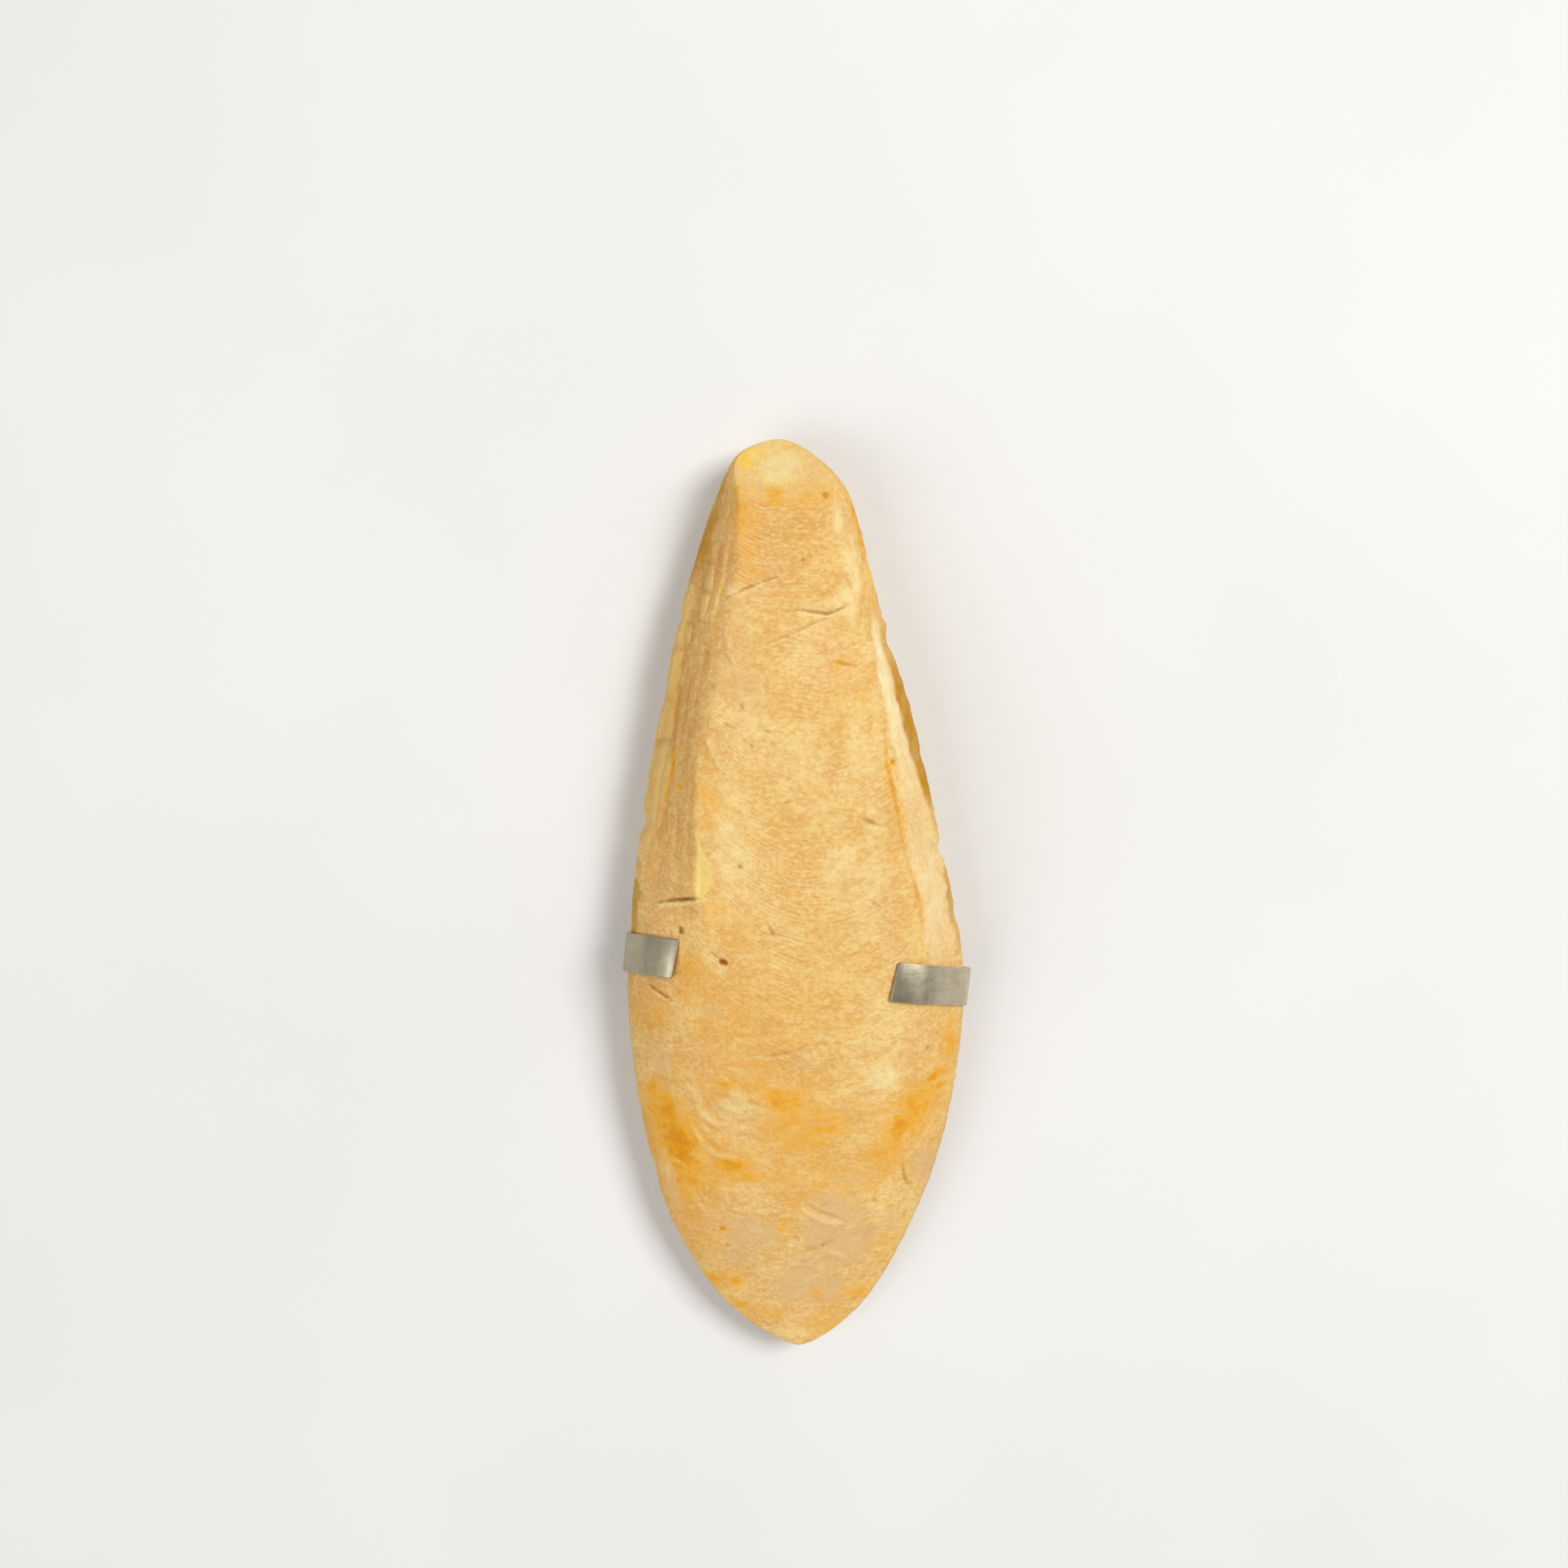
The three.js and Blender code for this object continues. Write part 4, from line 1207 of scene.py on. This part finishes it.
def boneMaterial():
    m = Material("chalkyBone")
    colour = boneColours
    ragged = m.spread(m.mottle(420, 0.3, 0.7, detail=6), 0.65, 1.2)

    def lay(tone, name, mask, share=1.0, broken=None):
        amount = m.math("MULTIPLY", m.mask(mask), share, clamp=True)
        if broken is not None:
            amount = m.math("MULTIPLY", amount, broken, clamp=True)
        return m.tint(amount, tone, colour[name])

    granules = m.mottle(560, 0.3, 0.7, detail=6)
    streaks = m.mottle(640, 0.1, 0.9, stretch=(0.55, 1.25, 1), detail=8)
    grain = m.mottle(1500, 0.25, 0.75, stretch=(0.8, 1.1, 1), detail=5)
    tone = m.tint(m.mottle(110, 0.3, 0.7, detail=6), colour["peach"], colour["cream"])
    dusty = m.mottle(260, 0.42, 0.74, stretch=(0.7, 1.1, 1), detail=6)
    tone = m.tint(m.math("MULTIPLY", dusty, 0.32), tone, colour["tan"])
    tone = lay(tone, "tan", "tan", 0.85, ragged)
    tone = lay(tone, "flank", "flank", 0.6)
    tone = lay(tone, "pink", "pink", 0.9, ragged)
    tone = m.tint(m.spread(streaks, -0.42, 0.42), tone, colour["pale"])
    tone = m.tint(m.spread(streaks, 0.36, -0.36), tone, colour["tan"])
    tone = m.tint(m.spread(grain, -0.46, 0.46), tone, colour["pale"])
    tone = m.tint(m.spread(grain, 0.46, -0.46), tone, colour["speck"])
    tone = lay(tone, "chip", "layer", 0.45)
    tone = lay(tone, "speck", "layer", -0.25)
    tone = lay(tone, "speck", "flank", 0.25, m.mottle(1300, 0.45, 0.7, stretch=(1, 0.12, 0.6)))
    tone = lay(tone, "plate", "plate", 0.75, ragged)
    # brown painted shade at ledge feet and plate borders
    tone = lay(tone, "brown", "seamAndShade", 0.3)
    tone = lay(tone, "back", "hardBack", 0.8)
    # the cut face of the nose is painted paler: its own cream colour, with painted light where it faces the
    # lamp
    tone = lay(tone, "cream", "trim", 0.55)
    tone = lay(tone, "haze", "haze", 0.85, ragged)
    tone = lay(tone, "plaster", "plaster", 0.85)
    tone = m.tint(m.breakUp("orange", granules, 0.05, 0.85), tone, colour["gold"])
    tone = m.tint(m.breakUp("orange", granules, 0.35, 1.15), tone, colour["orange"])
    # the low rows of the growth lines are tinted darker and the proud rows paler: their own colour, with
    # painted shade and painted light along the relief
    tone = lay(tone, "groove", "crest", -0.42)
    tone = lay(tone, "pale", "crest", 0.36)
    tone = m.tint(m.breakUp("yellow", granules, 0.2, 0.9), tone, colour["yellow"])
    # pale stains, and the painted highlight on crack lips
    tone = m.tint(m.math("MULTIPLY", m.breakUp("pale", granules, 0.05, 0.95), 0.85), tone, colour["pale"])
    # pale band on the right flank: painted light
    tone = lay(tone, "bright", "strip", 0.95, ragged)
    # pale strokes and fold tops, then brown hairlines and painted shadow beside the folds
    tone = lay(tone, "pale", "wispAndShadow", 0.6)
    tone = lay(tone, "brown", "wispAndShadow", -0.45)
    tone = lay(tone, "chip", "chip")
    tone = lay(tone, "ochre", "ochre", 1.0, m.spread(m.mottle(380, 0.3, 0.65), 0.75, 1))
    # brown in cracks and pits is dirt together with painted shade; the darkest core below is painted shade
    tone = lay(tone, "brown", "dirtAndShade", 1.5)
    deepest = m.math("SUBTRACT", m.mask("dirtAndShade"), 0.6, clamp=True)
    tone = m.tint(m.math("MULTIPLY", deepest, 2, clamp=True), tone, colour["dark"])
    m.set("Base Color", tone)
    m.set("Roughness", m.spread(m.mottle(300, 0.3, 0.7), 0.72, 0.92))
    m.set("Specular IOR Level", 0.3)
    fineBump = m.bump(m.mottle(4200, 0.3, 0.7, detail=3), 0.6, 0.00007)
    m.set("Normal", m.bump(m.mottle(1500, 0.3, 0.75, detail=6), 0.6, 0.00012, fineBump))
    return m.material


clipColours = {
    "zinc": srgb(206, 195, 168),
    "dull": srgb(190, 177, 148),
    "bright": srgb(222, 214, 194),
    "paintedShade": srgb(136, 132, 114),
}


def clipMaterial():
    m = Material("dullZincSheet")
    colour = clipColours
    tone = m.tint(m.mottle(260, 0.3, 0.7, detail=5), colour["dull"], colour["zinc"])
    brushed = m.mottle(900, 0.4, 0.7, stretch=(0.06, 2.6, 1), detail=3)
    tone = m.tint(m.math("MULTIPLY", brushed, 0.35), tone, colour["bright"])
    # painted shade on the tabs, darker where they face away from the lamp
    tone = m.tint(m.math("MULTIPLY", m.mask("paintedShade"), 0.6), tone, colour["paintedShade"])
    m.set("Base Color", tone)
    m.set("Metallic", 1.0)
    m.set("Roughness", m.spread(m.mottle(700, 0.3, 0.7, detail=5), 0.38, 0.48))
    scratches = m.bump(brushed, 0.15, 0.00002)
    m.set("Normal", m.bump(m.mottle(160, 0.3, 0.7), 0.15, 0.0002, scratches))
    return m.material


def floorMaterial():
    m = Material("paleFloor")
    darker, lighter = studio["floorColours"]
    m.set("Base Color", m.tint(m.mottle(9, 0.3, 0.7), darker, lighter))
    m.set("Roughness", 0.9)
    m.set("Specular IOR Level", 0.2)
    return m.material


for piece, material, node in ((bone, boneMaterial(), "bone"), (clip, clipMaterial(), "clip")):
    piece.data.materials.clear()
    piece.data.materials.append(material)
    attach(piece, "root")
    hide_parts(node)
print("materials set")


# floor, light and camera

studio = {
    "floorSize": 3.0,
    "floorDrop": 0.00002,  # keeps the floor just clear of the clip's plate
    "floorColours": (srgb(232, 231, 228), srgb(236, 235, 233)),
    "key": {"at": (0.6, 0.36, 0.9), "size": 0.45, "power": 9.1},
    "fill": {"at": (-0.7, -0.3, 0.8), "size": 0.8, "power": 4.3},
    "sky": 0.33,
    "skyColour": (1, 0.985, 0.96, 1),
}

# the photograph's camera: place in millimetres, tilt off straight down, roll and lens
photoCamera = {"at": (-1.437, 56.533, 320.959), "tilt": 6.666, "roll": -1.1987, "lens": 44.72, "sensor": 36}


def makeFloor():
    mesh = bpy.data.meshes.new("floor")
    reach = studio["floorSize"] / 2
    low = -studio["floorDrop"]
    corners = [(-reach, -reach, low), (reach, -reach, low), (reach, reach, low), (-reach, reach, low)]
    mesh.from_pydata(corners, [], [(0, 1, 2, 3)])
    floor = bpy.data.objects.new("floor", mesh)
    bpy.context.scene.collection.objects.link(floor)
    floor.data.materials.append(floorMaterial())


def makeLight(name, at, size, power):
    lamp = bpy.data.lights.new(name, "AREA")
    lamp.size = size
    lamp.energy = power
    light = bpy.data.objects.new(name, lamp)
    light.location = at
    light.rotation_euler = (-Vector(at)).to_track_quat("-Z", "Y").to_euler()
    bpy.context.scene.collection.objects.link(light)


def makeSky():
    world = bpy.data.worlds.new("sky")
    world.use_nodes = True
    background = world.node_tree.nodes["Background"]
    background.inputs["Color"].default_value = studio["skyColour"]
    background.inputs["Strength"].default_value = studio["sky"]
    bpy.context.scene.world = world


def makeCamera():
    tilt, roll = math.radians(photoCamera["tilt"]), math.radians(photoCamera["roll"])
    look = Vector((0, -math.sin(tilt), -math.cos(tilt)))
    up = Vector((0, math.cos(tilt), -math.sin(tilt)))
    side = look.cross(up)
    right = side * math.cos(roll) + up * math.sin(roll)
    top = up * math.cos(roll) - side * math.sin(roll)
    lens = bpy.data.cameras.new("camera")
    lens.lens = photoCamera["lens"]
    lens.sensor_width = photoCamera["sensor"]
    lens.clip_start = 0.01
    camera = bpy.data.objects.new("camera", lens)
    camera.matrix_world = Matrix.LocRotScale(
        Vector(photoCamera["at"]) * mm, Matrix((right, top, -look)).transposed(), None)
    bpy.context.scene.collection.objects.link(camera)
    bpy.context.scene.camera = camera


makeFloor()
makeLight("key", **studio["key"])
makeLight("fill", **studio["fill"])
makeSky()
makeCamera()
bpy.context.scene.view_settings.view_transform = "Standard"
print("stage set")
